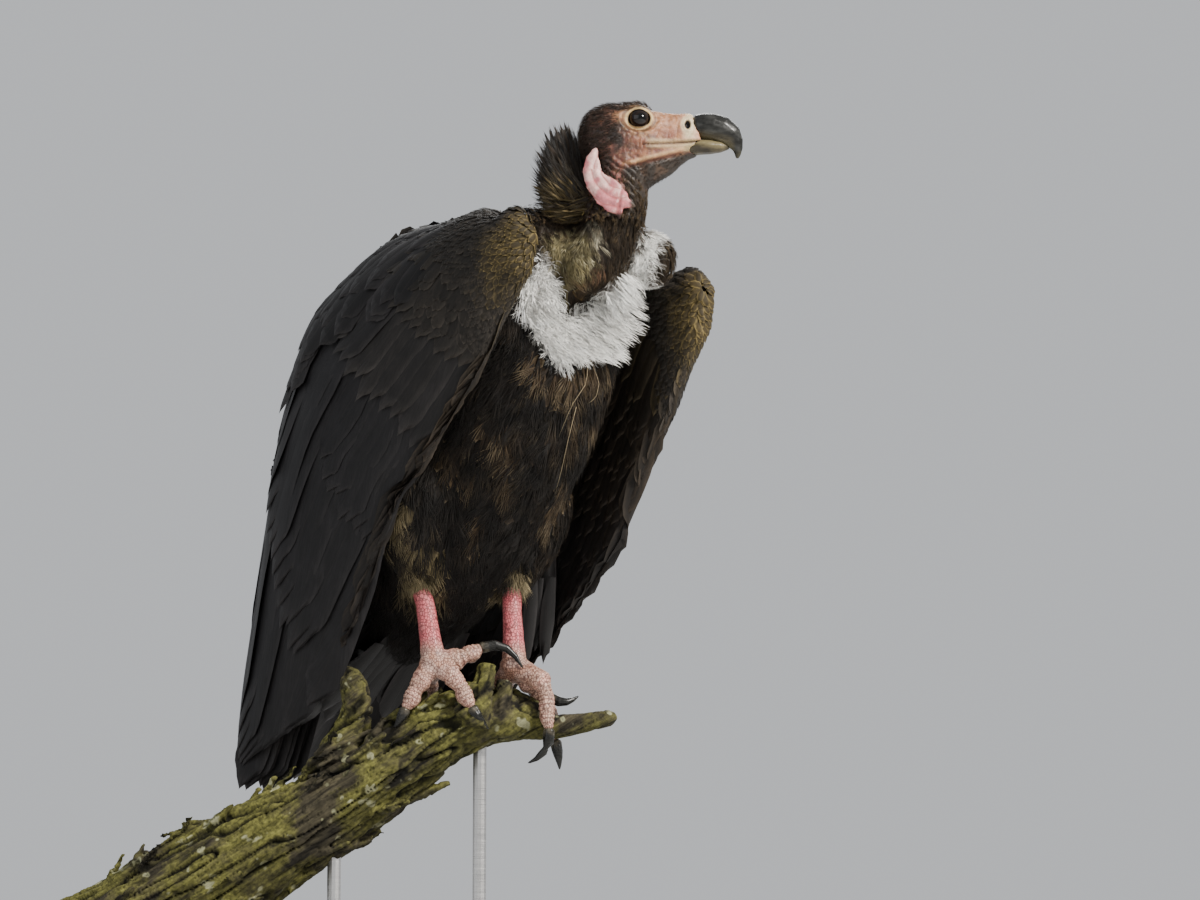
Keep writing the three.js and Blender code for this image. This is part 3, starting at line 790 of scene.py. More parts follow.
class Recipe:
    """A material in the making: a node tree with a few short ways to add to it."""

    def __init__(self, name: str, roughness: float, specular: float = 0.5) -> None:
        """Starts a material with an even gloss."""
        self.material = bpy.data.materials.new(name)
        self.material.use_nodes = True
        self.tree = self.material.node_tree
        self.shader = self.tree.nodes["Principled BSDF"]
        self.shader.inputs["Roughness"].default_value = roughness
        self.shader.inputs["Specular IOR Level"].default_value = specular

    def wire(self, target: Socket, value: object) -> None:
        """Sets a socket to a value, or links another socket to it; a colour gets its fourth number."""
        if isinstance(value, Socket):
            self.tree.links.new(value, target)
        elif target.type == "RGBA":
            target.default_value = (*value, 1)
        else:
            target.default_value = value

    def node(self, kind: str, settings: dict | None = None, **inputs: object) -> bpy.types.Node:
        """Adds a node.

        Args:
            kind: The node's type, without its ShaderNode prefix.
            settings: Its properties.
            inputs: Its sockets, by name with _ for a space: a value, or a socket to link.

        Returns:
            The node.
        """
        made = self.tree.nodes.new("ShaderNode" + kind)
        for key, value in (settings or {}).items():
            setattr(made, key, value)
        for key, value in inputs.items():
            self.wire(made.inputs[int(key[1:]) if key[1:].isdigit() else key.replace("_", " ")], value)
        return made

    def math(self, operation: str, a: object, b: object = 0) -> Socket:
        """One step of arithmetic on values or sockets."""
        return self.node("Math", {"operation": operation}, _0=a, _1=b).outputs[0]

    def times(self, a: object, b: object) -> Socket:
        """The product of two values or sockets."""
        return self.math("MULTIPLY", a, b)

    def plus(self, a: object, b: object) -> Socket:
        """The sum of two values or sockets."""
        return self.math("ADD", a, b)

    def tint(self) -> Socket:
        """The piece's own colour attribute."""
        return self.node("Attribute", {"attribute_name": "tint"}).outputs["Color"]

    def object_place(self) -> Socket:
        """The place on the piece, in its own frame."""
        return self.node("TexCoord").outputs["Object"]

    def stretched(self, scale: Colour) -> Socket:
        """The place, stretched along its axes."""
        made = self.node("Mapping", {"vector_type": "POINT"}, Vector=self.object_place(), Scale=scale)
        return made.outputs[0]

    def noise(self, scale: float, detail: float = 3, rough: float = 0.55,
              over: Socket | None = None) -> Socket:
        """Soft noise between 0 and 1 over the piece, or over other places."""
        over = over or self.object_place()
        return self.node("TexNoise", Vector=over, Scale=scale, Detail=detail, Roughness=rough).outputs["Fac"]

    def shade(self, grain: Socket, dark: float, light: float) -> Socket:
        """A factor from dark to light where noise goes from low to high."""
        return self.range(grain, 0.3, 0.7, dark, light)

    def range(self, value: Socket, low: float, high: float, to_low: float = 0, to_high: float = 1) -> Socket:
        """A value stretched from one range to another, and held there."""
        return self.node("MapRange", Value=value, From_Min=low, From_Max=high, To_Min=to_low,
                         To_Max=to_high).outputs[0]

    def mix(self, share: object, a: object, b: object, way: str = "MIX") -> Socket:
        """Two colours mixed by a share."""
        return self.node("Mix", {"data_type": "RGBA", "blend_type": way}, _0=share, _6=a, _7=b).outputs[2]

    def scaled(self, colour: Socket, value: Socket) -> Socket:
        """A colour made darker or lighter by a value."""
        return self.node("VectorMath", {"operation": "SCALE"}, _0=colour, Scale=value).outputs[0]

    def finish(self, colour: object, bump: Socket | None = None, depth: float = 0.0005,
               strength: float = 0.5, roughness: Socket | None = None) -> Material:
        """Wires the colour, the bump and the roughness, and hands the material over.

        Args:
            colour: The colour, or its socket.
            bump: The height's socket, from 0 to 1.
            depth: What the height stands for, in metres.
            strength: The bump's strength.
            roughness: The roughness's socket, or None for the even one.

        Returns:
            The material.
        """
        self.wire(self.shader.inputs["Base Color"], colour)
        if bump is not None:
            made = self.node("Bump", Height=bump, Distance=depth, Strength=strength)
            self.tree.links.new(made.outputs[0], self.shader.inputs["Normal"])
        if roughness is not None:
            self.tree.links.new(roughness, self.shader.inputs["Roughness"])
        return self.material


@dataclass(frozen=True)
class FeatherFinish:
    """Vaned feathers: barbs that slant off a shaft, in the feather's own colour."""

    name: str
    roughness: float = 0.55
    barbs: float = 34  # along the feather
    contrast: float = 0.35  # between barbs
    shaft: float = 0.02  # half width of the shaft, as a share of the feather's width

    def material(self) -> Material:
        """The feathers' material."""
        recipe = Recipe(self.name, self.roughness, 0.18)
        own = recipe.node("SeparateXYZ", _0=recipe.node("UVMap", {"uv_map": "vane"}).outputs[0])
        off_shaft = recipe.math("ABSOLUTE", recipe.math("SUBTRACT", own.outputs[0], 0.5))
        slant = recipe.math("SUBTRACT", own.outputs[1], recipe.times(off_shaft, 0.8))
        line = recipe.node("CombineXYZ", X=recipe.times(slant, self.barbs), Y=recipe.times(off_shaft, 3))
        split = recipe.node("VectorMath", {"operation": "ADD"}, _0=line.outputs[0],
                            _1=recipe.stretched((60, 60, 60))).outputs[0]
        barb = recipe.noise(1, 2, 0.6, over=split)
        light = recipe.shade(barb, 1 - self.contrast, 1 + self.contrast)
        cloud = recipe.shade(recipe.noise(45, 2), 0.8, 1.2)
        colour = recipe.scaled(recipe.tint(), recipe.times(light, cloud))
        on_shaft = recipe.range(off_shaft, self.shaft * 0.5, self.shaft, 1, 0)
        colour = recipe.mix(recipe.times(on_shaft, 0.45), colour, (0.012, 0.01, 0.009))
        return recipe.finish(colour, recipe.math("MAXIMUM", barb, on_shaft), 0.0004, 0.35)


@dataclass(frozen=True)
class PlumeFinish:
    """Soft plumes, down and hackles: dull strands in the tuft's own colour."""

    name: str
    roughness: float = 0.8
    sheen: float = 0
    cloud: float = 0.25  # how far blotches differ

    def material(self) -> Material:
        """The plumes' material."""
        recipe = Recipe(self.name, self.roughness, 0.25)
        recipe.shader.inputs["Sheen Weight"].default_value = self.sheen
        fine = recipe.noise(420, 2)
        broad = recipe.noise(60, 3)
        light = recipe.plus(recipe.shade(fine, 0.75, 1.05), recipe.shade(broad, -self.cloud, self.cloud))
        return recipe.finish(recipe.scaled(recipe.tint(), light), fine, 0.0003, 0.3)


@dataclass(frozen=True)
class BareSkin:
    """Bare skin: wrinkles and pores over its own markings, with painted shade in their hollows."""

    name: str
    roughness: float = 0.5
    wrinkle: float = 260  # wrinkles to the metre
    depth: float = 0.0006
    pores: float = 0.25

    def material(self) -> Material:
        """The skin's material."""
        recipe = Recipe(self.name, self.roughness, 0.4)
        recipe.shader.inputs["Subsurface Weight"].default_value = 0.08
        recipe.shader.inputs["Subsurface Radius"].default_value = (0.004, 0.0015, 0.001)
        recipe.shader.inputs["Subsurface Scale"].default_value = 0.5
        place_on = recipe.object_place()
        folds = recipe.noise(self.wrinkle, 4, 0.6, over=place_on)
        cells = recipe.node("TexVoronoi", {"feature": "DISTANCE_TO_EDGE"}, Vector=place_on,
                            Scale=self.wrinkle * 2.6)
        creases = recipe.range(cells.outputs["Distance"], 0, 0.25)
        height = recipe.plus(folds, recipe.times(creases, self.pores))
        # Painted shade: darker in the low parts of the wrinkles and along the creases.
        light = recipe.times(recipe.shade(folds, 0.72, 1.22), recipe.range(creases, 0, 0.6, 0.86, 1))
        return recipe.finish(recipe.scaled(recipe.tint(), light), height, self.depth, 0.6)


@dataclass(frozen=True)
class ScaledSkin:
    """The net of small raised scales on the legs, pale on red."""

    name: str
    roughness: float = 0.45
    scales: float = 420  # scales to the metre
    gap: Colour = (0.1, 0.022, 0.03)

    def material(self) -> Material:
        """The legs' material."""
        recipe = Recipe(self.name, self.roughness, 0.4)
        net = recipe.node("TexVoronoi", {"feature": "DISTANCE_TO_EDGE"}, Scale=self.scales,
                          Vector=recipe.stretched((1, 1, 0.75)), Randomness=0.75)
        scale = recipe.range(net.outputs["Distance"], 0.03, 0.16)
        dust = recipe.noise(120, 3)
        raised = recipe.scaled(recipe.tint(), recipe.shade(dust, 0.8, 1.15))
        colour = recipe.mix(scale, recipe.mix(0.8, recipe.tint(), self.gap, "MULTIPLY"), raised)
        return recipe.finish(colour, scale, 0.0004, 0.6)


@dataclass(frozen=True)
class Horn:
    """Polished horn of bill and claws, with growth lines in its own markings."""

    name: str
    roughness: float = 0.28
    lines: float = 240

    def material(self) -> Material:
        """The horn's material."""
        recipe = Recipe(self.name, self.roughness, 0.2)
        grown = recipe.noise(self.lines, 4, 0.65, over=recipe.stretched((1, 1, 2.2)))
        light = recipe.shade(grown, 0.75, 1.3)
        return recipe.finish(recipe.scaled(recipe.tint(), light), grown, 0.0001, 0.2,
                             recipe.shade(grown, self.roughness - 0.08, self.roughness + 0.14))


@dataclass(frozen=True)
class WetEye:
    """The glossy eyeball, its iris and pupil in its own markings."""

    name: str = "wet_eye"

    def material(self) -> Material:
        """The eye's material."""
        recipe = Recipe(self.name, 0.03, 0.3)
        rays = recipe.noise(900, 2)
        return recipe.finish(recipe.scaled(recipe.tint(), recipe.shade(rays, 0.7, 1.3)))


@dataclass(frozen=True)
class MossyBark:
    """Weathered wood under olive moss, with pale lichen."""

    name: str = "mossy_bark"
    rise: float = 34  # the branch's slope, in degrees

    def material(self) -> Material:
        """The bark's material."""
        recipe = Recipe(self.name, 0.9, 0.2)
        turned = recipe.node("VectorRotate", {"rotation_type": "EULER_XYZ", "invert": True},
                             Vector=recipe.object_place(),
                             Rotation=(0, math.radians(-self.rise), math.radians(-45)))
        along = recipe.node("VectorMath", {"operation": "MULTIPLY"}, _0=turned.outputs[0],
                            _1=(0.12, 1, 1)).outputs[0]
        grain = recipe.noise(520, 4, 0.7, over=along)
        strand = recipe.noise(120, 4, 0.6, over=along)
        patch = recipe.noise(17, 4, 0.6)
        dust = recipe.noise(260, 3)
        spots = recipe.noise(62, 2, 0.5)
        wood = recipe.mix(recipe.range(strand, 0.35, 0.65), (0.017, 0.0145, 0.0095), (0.105, 0.09, 0.053))
        moss = recipe.mix(recipe.range(dust, 0.3, 0.7), (0.055, 0.054, 0.014), (0.22, 0.21, 0.056))
        cover = recipe.range(recipe.plus(patch, recipe.times(strand, 0.5)), 0.66, 0.82)
        colour = recipe.mix(cover, wood, moss)
        colour = recipe.mix(recipe.range(spots, 0.63, 0.67, 0, 0.85), colour, (0.36, 0.36, 0.21))
        light = recipe.shade(grain, 0.62, 1.25)
        # The tint brings in the branch's painted shade of cracks and underside.
        colour = recipe.mix(1, recipe.scaled(colour, light), recipe.tint(), "MULTIPLY")
        height = recipe.plus(recipe.times(grain, 0.6), recipe.times(dust, 0.4))
        return recipe.finish(colour, height, 0.0018, 0.9)


@dataclass(frozen=True)
class TurnedWood:
    """Dark stained, waxed wood of the plinth."""

    name: str = "stained_wood"

    def material(self) -> Material:
        """The wood's material."""
        recipe = Recipe(self.name, 0.38, 0.5)
        grain = recipe.noise(9, 6, 0.62, over=recipe.stretched((1, 14, 14)))
        pores = recipe.noise(7, 3, over=recipe.stretched((8, 160, 160)))
        colour = recipe.mix(recipe.range(grain, 0.35, 0.65), (0.022, 0.011, 0.006), (0.085, 0.045, 0.024))
        return recipe.finish(colour, pores, 0.0004, 0.3, recipe.shade(grain, 0.32, 0.46))


@dataclass(frozen=True)
class BrushedSteel:
    """Satin steel of the rods, brushed round."""

    name: str = "brushed_steel"

    def material(self) -> Material:
        """The steel's material."""
        recipe = Recipe(self.name, 0.32)
        recipe.shader.inputs["Metallic"].default_value = 1
        lines = recipe.noise(1, 3, over=recipe.stretched((40, 40, 2200)))
        colour = recipe.mix(lines, (0.4, 0.39, 0.38), (0.62, 0.61, 0.6))
        return recipe.finish(colour, lines, 0.0002, 0.2, recipe.shade(lines, 0.26, 0.42))


@dataclass(frozen=True)
class StudioPaper:
    """The pale floor."""

    name: str = "studio_paper"

    def material(self) -> Material:
        """The floor's material."""
        recipe = Recipe(self.name, 0.85, 0.2)
        mottled = recipe.noise(3, 2)
        return recipe.finish(recipe.mix(mottled, (0.7, 0.7, 0.69), (0.74, 0.74, 0.73)))


# ---- markings ----


@dataclass(frozen=True)
class Palette:
    """The bird's colours, linear."""

    slate: Colour = (0.0066, 0.006, 0.0066)
    slate_edge: Colour = (0.021, 0.0185, 0.0185)
    wrist: Colour = (0.029, 0.021, 0.0085)
    wrist_edge: Colour = (0.15, 0.11, 0.04)
    lining: Colour = (0.0115, 0.0088, 0.0066)
    lining_edge: Colour = (0.036, 0.027, 0.018)
    black: Colour = (0.005, 0.0043, 0.0044)
    belly: Colour = (0.0068, 0.0053, 0.0042)
    belly_edge: Colour = (0.0145, 0.0112, 0.0082)
    rust: Colour = (0.048, 0.031, 0.016)
    wisp: Colour = (0.26, 0.2, 0.12)
    buff: Colour = (0.105, 0.082, 0.04)
    buff_edge: Colour = (0.32, 0.26, 0.15)
    white: Colour = (0.93, 0.92, 0.88)
    olive: Colour = (0.17, 0.142, 0.068)
    olive_edge: Colour = (0.6, 0.56, 0.38)
    crop: Colour = (0.022, 0.014, 0.007)
    crop_edge: Colour = (0.082, 0.053, 0.022)
    ruff: Colour = (0.016, 0.011, 0.007)
    # Painted sheen of the ruff's lower front.
    ruff_gold: Colour = (0.2, 0.145, 0.055)
    orange: Colour = (0.29, 0.13, 0.058)
    pale: Colour = (0.48, 0.29, 0.135)
    cheek: Colour = (0.15, 0.048, 0.029)
    dark_skin: Colour = (0.014, 0.0075, 0.005)
    lid: Colour = (0.5, 0.34, 0.15)
    cere: Colour = (0.44, 0.235, 0.145)
    cream: Colour = (0.6, 0.47, 0.285)
    pink: Colour = (0.55, 0.215, 0.21)
    leg: Colour = (0.52, 0.12, 0.13)
    toe: Colour = (0.4, 0.215, 0.15)
    horn: Colour = (0.011, 0.011, 0.01)
    horn_pale: Colour = (0.075, 0.066, 0.034)


COLOURS = Palette()
CERE_FROM = 34  # where the pale bare skin before the lores begins, ahead of the eyes
NOSTRIL = (41.6, -4.6)  # its middle, ahead and above of the eyes
EYE_OPENING = (9.4, 7.6)  # its half axes

RING = 4  # from one scute of the toes to the next

# Outlines of the markings on the drawing, across and up.
WHITE_V = ((-58, 162), (-53, 176), (-46, 166), (-38, 141), (-34, 116), (-13, 128), (7, 143), (25, 158),
           (33, 176), (40, 197), (47, 210), (56, 204), (56, 185), (51, 165), (44, 132), (42, 114), (37, 101),
           (16, 90), (0, 85), (-18, 81), (-33, 73), (-41, 80), (-49, 94), (-57, 105), (-65, 113), (-73, 125),
           (-70, 141))
CROP = ((-66, 220), (0, 224), (53, 224), (47, 210), (40, 197), (33, 176), (25, 158), (7, 143), (-13, 128),
        (-34, 116), (-38, 141), (-44, 169), (-50, 185), (-58, 194))
OLIVE = ((-52, 188), (-14, 197), (-5, 176), (-11, 157), (-22, 146), (-35, 136), (-42, 160))
PALE_LOCK = ((-9, 200), (1, 198), (0, 180), (-5, 177))
TUFT = ((54, 199), (66, 197), (78, 171), (85, 145), (60, 137), (42, 152), (44, 168), (52, 180))
RIGHT_THIGH = ((-196, -84), (-176, -36), (-168, -42), (-172, -78), (-146, -82), (-134, -104), (-140, -140),
               (-169, -125), (-176, -97), (-180, -70))
LEFT_THIGH = ((-84, -106), (-62, -102), (-46, -118), (-48, -148), (-88, -143))
PINK_LINE = ((-25, 148), (2, 160))
THIGH_LINES = (((-60, 0, 160), (-45, 22, 66)), ((57, -11, 150), (35, -9, 70)))
CUFF_LINES = (((-46, 24, 78), (-44, 22, 66)), ((39, -6, 80), (34, -10, 68)))  # down the tops of the shanks
STREAKS = (((-97, 22), (-77, -4), 11), ((-7, 22), (5, 2), 8), ((1, 0), (-11, -37), 7),
           ((-30, -26), (-44, -60), 7), ((-35, 57), (4, 66), 12), ((-136, 0), (-114, -26), 8),
           ((-22, 35), (-26, 9), 6), ((-62, 79), (-48, 57), 6), ((-88, -18), (-77, -44), 6),
           ((-106, -62), (-114, -88), 7))


def over_jaw(ahead: Array, above: Array) -> Array:
    """How far places on the head lie above the line of the jaw."""
    return above + 43 - 0.3 * (ahead + 9)


def over_gape(ahead: Array, above: Array) -> Array:
    """How far places on the head lie above the line of the mouth."""
    return above + 23.8 - 0.092 * (ahead - 4)


def white_share(points: Array) -> Array:
    """How white the down of the breast is: a broad V under the crop."""
    x, y, _ = points.T
    seen = inside(points, WHITE_V, 2.5, 5)
    other = inside(points * (-1, 1, 1), WHITE_V, 2.5, 5)
    hidden = smooth(50, 38, -0.7071 * (x + y)) * smooth(10, 30, x)
    return (seen * (1 - hidden) + other * hidden) * smooth(-70, -84, y)


def crop_share(points: Array) -> Array:
    """Where the furry crop and the feathered lower neck are."""
    _, y, z = points.T
    front = inside(points, CROP, 3, 4)
    other = smooth(300, 325, z) * (1 - inside(points, WHITE_V, 3, 4)) * smooth(-100, -122, y)
    return np.maximum(front * smooth(-85, -105, y), other)


def leg_share(points: Array) -> Array:
    """Where the thighs' lower feathers are buff."""
    right = inside(points, RIGHT_THIGH, 5, 7) * (points[:, 0] < -20)
    left = inside(points, LEFT_THIGH, 4, 4) * (points[:, 0] > 20)
    ring = np.minimum(*(to_line(points, *ends)[0] for ends in CUFF_LINES))
    share = np.maximum(np.maximum(right, left) * (points[:, 1] < 40), smooth(21, 15, ring))
    return share * smooth(-0.45, 0.05, mottle(points, 9, 4))


def streak_share(points: Array) -> Array:
    """Where the belly's loose tufts show their paler brown tips."""
    spot = laid_out(points)
    share = np.zeros(len(points))
    for start, end, reach in STREAKS:
        share = np.maximum(share, smooth(reach * 1.2, reach * 0.3, to_line(spot, start, end)[0]))
    return share * smooth(-10, -40, points[:, 1]) * smooth(-0.4, 0.2, mottle(points, 7, 14))


def body_colours(points: Array) -> tuple[Array, Array]:
    """The colours of body plumage.

    Args:
        points: The places.

    Returns:
        The base colour and the fringe colour at each place.
    """
    c = COLOURS
    x, _, z = points.T
    fine, broad = mottle(points, 12, 2), mottle(points, 34, 3)
    base = blend(c.belly, c.rust, 0.18 * smooth(0.1, 0.5, broad) * smooth(60, 120, z))
    fringe = blend(c.belly_edge, c.rust, 0.55 * smooth(0.05, 0.45, broad) * smooth(40, 110, z))
    fringe = blend(fringe, c.wisp, 0.3 * smooth(0.25, 0.5, fine) * smooth(40, 110, z))
    streak = streak_share(points)
    pair = blend(base, c.rust, streak), blend(fringe, c.wisp, 0.85 * streak)
    _, behind = lean_of(points)
    pair = blend_pair(pair, c.black, c.slate_edge, smooth(40, 75, behind))
    pair = blend_pair(pair, c.buff, c.buff_edge, leg_share(points))
    olive = inside(points, OLIVE, 5, 5) * smooth(-0.45, 0.05, mottle(points * (1, 1, 0.5), 9, 15))
    furry = blend(c.crop, c.olive, olive), blend(c.crop_edge, c.olive_edge, olive)
    furry = blend_pair(furry, (0.42, 0.38, 0.27), (0.72, 0.67, 0.52), 0.8 * inside(points, PALE_LOCK, 3, 3))
    pink = 0.6 * smooth(4, 1, to_line(laid_out(points), *PINK_LINE)[0] + 3 * fine)
    furry = blend_pair(furry, (0.14, 0.075, 0.04), (0.34, 0.2, 0.12), pink)
    pair = blend_pair(pair, *furry, crop_share(points))
    tuft = inside(points, TUFT, 3, 3) * (x > 10)
    pair = blend(pair[0], c.crop, tuft), blend(pair[1], c.wisp, 0.8 * tuft * smooth(-0.2, 0.3, fine))
    return blend_pair(pair, c.white, c.white, white_share(points) * (1 - tuft))


def wing_colours(points: Array, share: Array, drop: float) -> tuple[Array, Array]:
    """The colours of a wing's small feathers.

    Args:
        points: The places.
        share: The share of the way from the leading to the trailing edge.
        drop: How much lower the wing hangs.

    Returns:
        The base colour and the fringe colour at each place.
    """
    c = COLOURS
    down, _ = lean_of(points + (0, 0, drop))
    rough = mottle(points, 20, 5)
    gold = smooth(54, 4, down + 130 * np.maximum(share - 0.1, 0) + 16 * rough)
    brown = smooth(190, 60, down + 30 * rough) * 0.6
    pair = blend(c.slate, c.wrist, brown * 0.35), blend(c.slate_edge, c.wrist_edge, brown * 0.12)
    return blend_pair(pair, c.wrist, c.wrist_edge, gold)


def head_colours(points: Array) -> Array:
    """The colours of the bare head, neck and lappets, with painted shade in the nostrils, the gape and round
    the eyes.
    """
    c = COLOURS
    ahead, left, above = head_frame(points)
    fine, broad = mottle(points, 3, 6), mottle(points, 8, 7)
    colour = blend(c.orange, c.cheek, smooth(-0.5, 0.25, broad + 0.5 * fine))
    cheek = smooth(12, -8, ahead) * smooth(2, -9, above)
    round_eye = np.hypot(ahead / 1.15, above)
    brow = hump(11 - 0.1 * ahead, 5, above) * smooth(-12, -2, ahead) * smooth(34, 22, ahead)
    lores = smooth(9, 17, ahead) * smooth(-15, -7, above)
    below = hump(-12, 6, above) * smooth(6, 14, ahead) * smooth(40, 30, ahead)
    jaw = over_jaw(ahead, above)
    freckle = smooth(0.02, 0.34, mottle(points, 4.5, 51) + 0.3 * broad) * smooth(-4, -11, above)
    mouth = smooth(-28, -24.5, above) * smooth(-16.5, -20, above) * smooth(3, 12, ahead)
    crown = smooth(5, 12, above + 0.15 * np.abs(left)) * smooth(24, 2, ahead + 8 * broad)
    back = smooth(-13, -27, ahead + 6 * broad) * smooth(24, 8, above)
    ear = hump(-21, 21, ahead) * hump(-17, 24, above)
    dark = np.maximum(np.maximum(0.95 * crown, 0.85 * back), ear * 1.2)
    throat = smooth(2, -3, jaw) * smooth(-20, -10, ahead)
    bare = smooth(-52, -38, ahead) * smooth(2, -8, ahead) * smooth(-76, -64, above)
    warts = blend(c.dark_skin, blend((0.03, 0.015, 0.01), (0.3, 0.11, 0.09), bare),
                  smooth(-0.25, 0.3, fine + 0.6 * broad + 0.3 * bare))
    front = smooth(CERE_FROM, CERE_FROM + 4, ahead + 0.1 * above) * smooth(-20, -16, above)
    under = smooth(36, 42, ahead) * smooth(-16, -20, above) * smooth(-1, 1.5, jaw)
    nostril = np.hypot((ahead - NOSTRIL[0]) / 2.9, (above - NOSTRIL[1]) / 4.1)
    before_nostril = hump(NOSTRIL[0] + 3 + 0.1 * above, 8, ahead)
    gape_shade = hump(0, 1.5, over_gape(ahead, above)) * smooth(1, 6, ahead) * smooth(54, 50, ahead)
    rim = np.hypot(ahead / EYE_OPENING[0], above / EYE_OPENING[1])
    for tint, share in (
            (blend(c.cheek, (0.19, 0.085, 0.04), smooth(0, 0.4, fine + 0.4 * broad)), cheek),
            (c.pale, 0.5 * smooth(22, 13.5, round_eye) * smooth(-0.3, 0.3, fine + 0.1)),
            (c.pale, 0.7 * brow),
            (blend(c.orange, c.cere, smooth(-0.3, 0.3, fine)), 0.75 * lores),
            ((0.25, 0.095, 0.05), 0.65 * below),
            ((0.055, 0.024, 0.014), 0.7 * freckle * smooth(24, 4, ahead)),
            ((0.42, 0.29, 0.15), 0.85 * mouth),
            (c.dark_skin, np.clip(dark * (0.9 + 0.7 * broad), 0, 1)),
            (blend((0.018, 0.011, 0.006), (0.05, 0.027, 0.014), smooth(0, 0.5, broad)), throat),
            (c.pale, 0.75 * (hump(3, 3, jaw) * smooth(-14, -4, ahead))),
            (warts, smooth(-46, -56, above) * (1 - throat)),
            (blend(c.cere, c.orange, smooth(-0.1, 0.5, broad)), front),
            (c.cream, before_nostril * smooth(-19, -15, above)),
            ((0.36, 0.28, 0.14), 0.8 * under),
            (c.cream, smooth(2.4, 1.6, nostril)),
            # Painted shade: the nostril's hole near black.
            ((0.006, 0.004, 0.003), smooth(1.15, 0.8, nostril)),
            # Painted shade along the groove of the gape.
            ((0.06, 0.024, 0.014), gape_shade),
            # Painted shade in the groove round the lids, deepest under the eye.
            ((0.075, 0.036, 0.016), 0.95 * hump(1.5, 0.15, rim) * (0.55 + 0.45 * smooth(6, -4, above))),
            (c.lid, smooth(1.34, 1.24, rim)),
            ((0.1, 0.055, 0.025), 0.75 * hump(1.04, 0.07, rim)),
            # Painted shade: near black inside the lids' opening, round the eyeball.
            ((0.01, 0.006, 0.004), smooth(1.06, 0.99, rim) * (np.abs(left) > 4))):
        colour = blend(colour, tint, share)
    return colour


def lappet_colours(points: Array) -> Array:
    """The pale pink of the lappets, with painted shade, a darker red, in the creases of their folds."""
    c = COLOURS
    _, _, above = head_frame(points)
    blotch = mottle(points, 7, 8)
    vein = smooth(0.75, 0.95, 1 - np.abs(mottle(points, 5, 33)) * 3)
    colour = blend((0.46, 0.15, 0.16), (0.62, 0.37, 0.33), smooth(-0.3, 0.3, blotch + 0.02 * (above + 64)))
    colour = blend(colour, c.pink, 0.5 * vein)
    flushed = 0.6 * smooth(0.15, 0.45, mottle(points, 4, 9)) * smooth(-56, -68, above)
    colour = blend(colour, (0.44, 0.1, 0.11), flushed)
    # Painted shade: darker red in the creases of the folds.
    return blend(colour, (0.3, 0.07, 0.065), 0.7 * lappet_folds(points)[1])


def lappet_folds(points: Array) -> tuple[Array, Array]:
    """The folds that run down the lappets.

    Args:
        points: The places.

    Returns:
        The height of the folds, and how deep in a crease each place is.
    """
    ahead, _, above = head_frame(points)
    bend = np.hypot(ahead + 12, above + 47)
    turn = np.arctan2(above + 47, ahead + 12)
    low = smooth(-56, -74, above)
    wave = np.sin(0.75 * bend + 1.2 * mottle(points, 9, 26) + 1.3 * turn)
    split = hump(-1.75, 0.1, turn) * low
    return 0.5 * wave - 1.1 * split, np.maximum(smooth(-0.75, -1, wave), split)


def toe_rings(points: Array, foot: "Foot") -> tuple[Array, Array, Array]:
    """Where each place lies along the toes of a foot.

    Args:
        points: The places.
        foot: The foot.

    Returns:
        How surely the place is on a toe, its share of the toe's length, and the mm along it.
    """
    best = np.full(len(points), 1e9)
    share, reach = np.zeros(len(points)), np.zeros(len(points))
    for toe in foot.toes:
        first, second = math.dist(foot.sole, toe.knuckle), math.dist(toe.knuckle, toe.tip)
        for start, end, before, run in ((foot.sole, toe.knuckle, 0, first),
                                        (toe.knuckle, toe.tip, first, second)):
            away, t = to_line(points, start, end)
            nearer = away < best
            best[nearer] = away[nearer]
            reach[nearer] = before + t[nearer] * run
            share[nearer] = reach[nearer] / (first + second)
    return smooth(13, 9, best) * smooth(0.16, 0.34, share), share, reach


def leg_colours(points: Array) -> Array:
    """Pink-red shanks that turn to tan, ringed toes."""
    c = COLOURS
    z = points[:, 2]
    worn = smooth(-0.3, 0.4, mottle(points, 8, 10))
    shank = blend(c.leg, (0.5, 0.19, 0.18), 0.5 * worn)
    palm = blend(c.toe, (0.52, 0.34, 0.27), worn)
    colour = blend(shank, palm, smooth(26, 8, z))
    for foot in FEET:
        on_toe, share, reach = toe_rings(points, foot)
        mine = (points @ LEFT_FRONT > 8) == (foot.side is Side.LEFT)
        plate = np.abs(np.sin(reach * math.pi / RING))
        ringed = blend(blend(c.toe, (0.5, 0.24, 0.18), worn), (0.56, 0.39, 0.3), 0.6 * plate)
        ringed = blend(ringed, ringed * 0.4, smooth(0.35, 0.05, plate) * smooth(0.38, 0.55, share))
        colour = blend(colour, ringed, on_toe * mine * smooth(0.2, 0.4, share))
    return colour


# ---- wings ----


@dataclass(frozen=True)
class Tract:
    """One row of long wing feathers. Pairs run from the leading to the trailing edge."""

    count: int
    root_down: Pair  # mm down the wing
    root_share: Pair  # shares of the chord
    tip_down: Pair
    tip_share: Pair
    width: Pair
    depth: Pair  # under the wing's surface, at the root and the tip
    arch: float = 0  # how far the row's middle reaches past its ends
    jitter: float = 3

    def shares(self) -> Array:
        """Each feather's place in the row, from 0 to 1."""
        return np.linspace(0, 1, self.count)

    def between(self, pair: Pair) -> Array:
        """A pair's value for each feather in the row."""
        return pair[0] + (pair[1] - pair[0]) * self.shares()


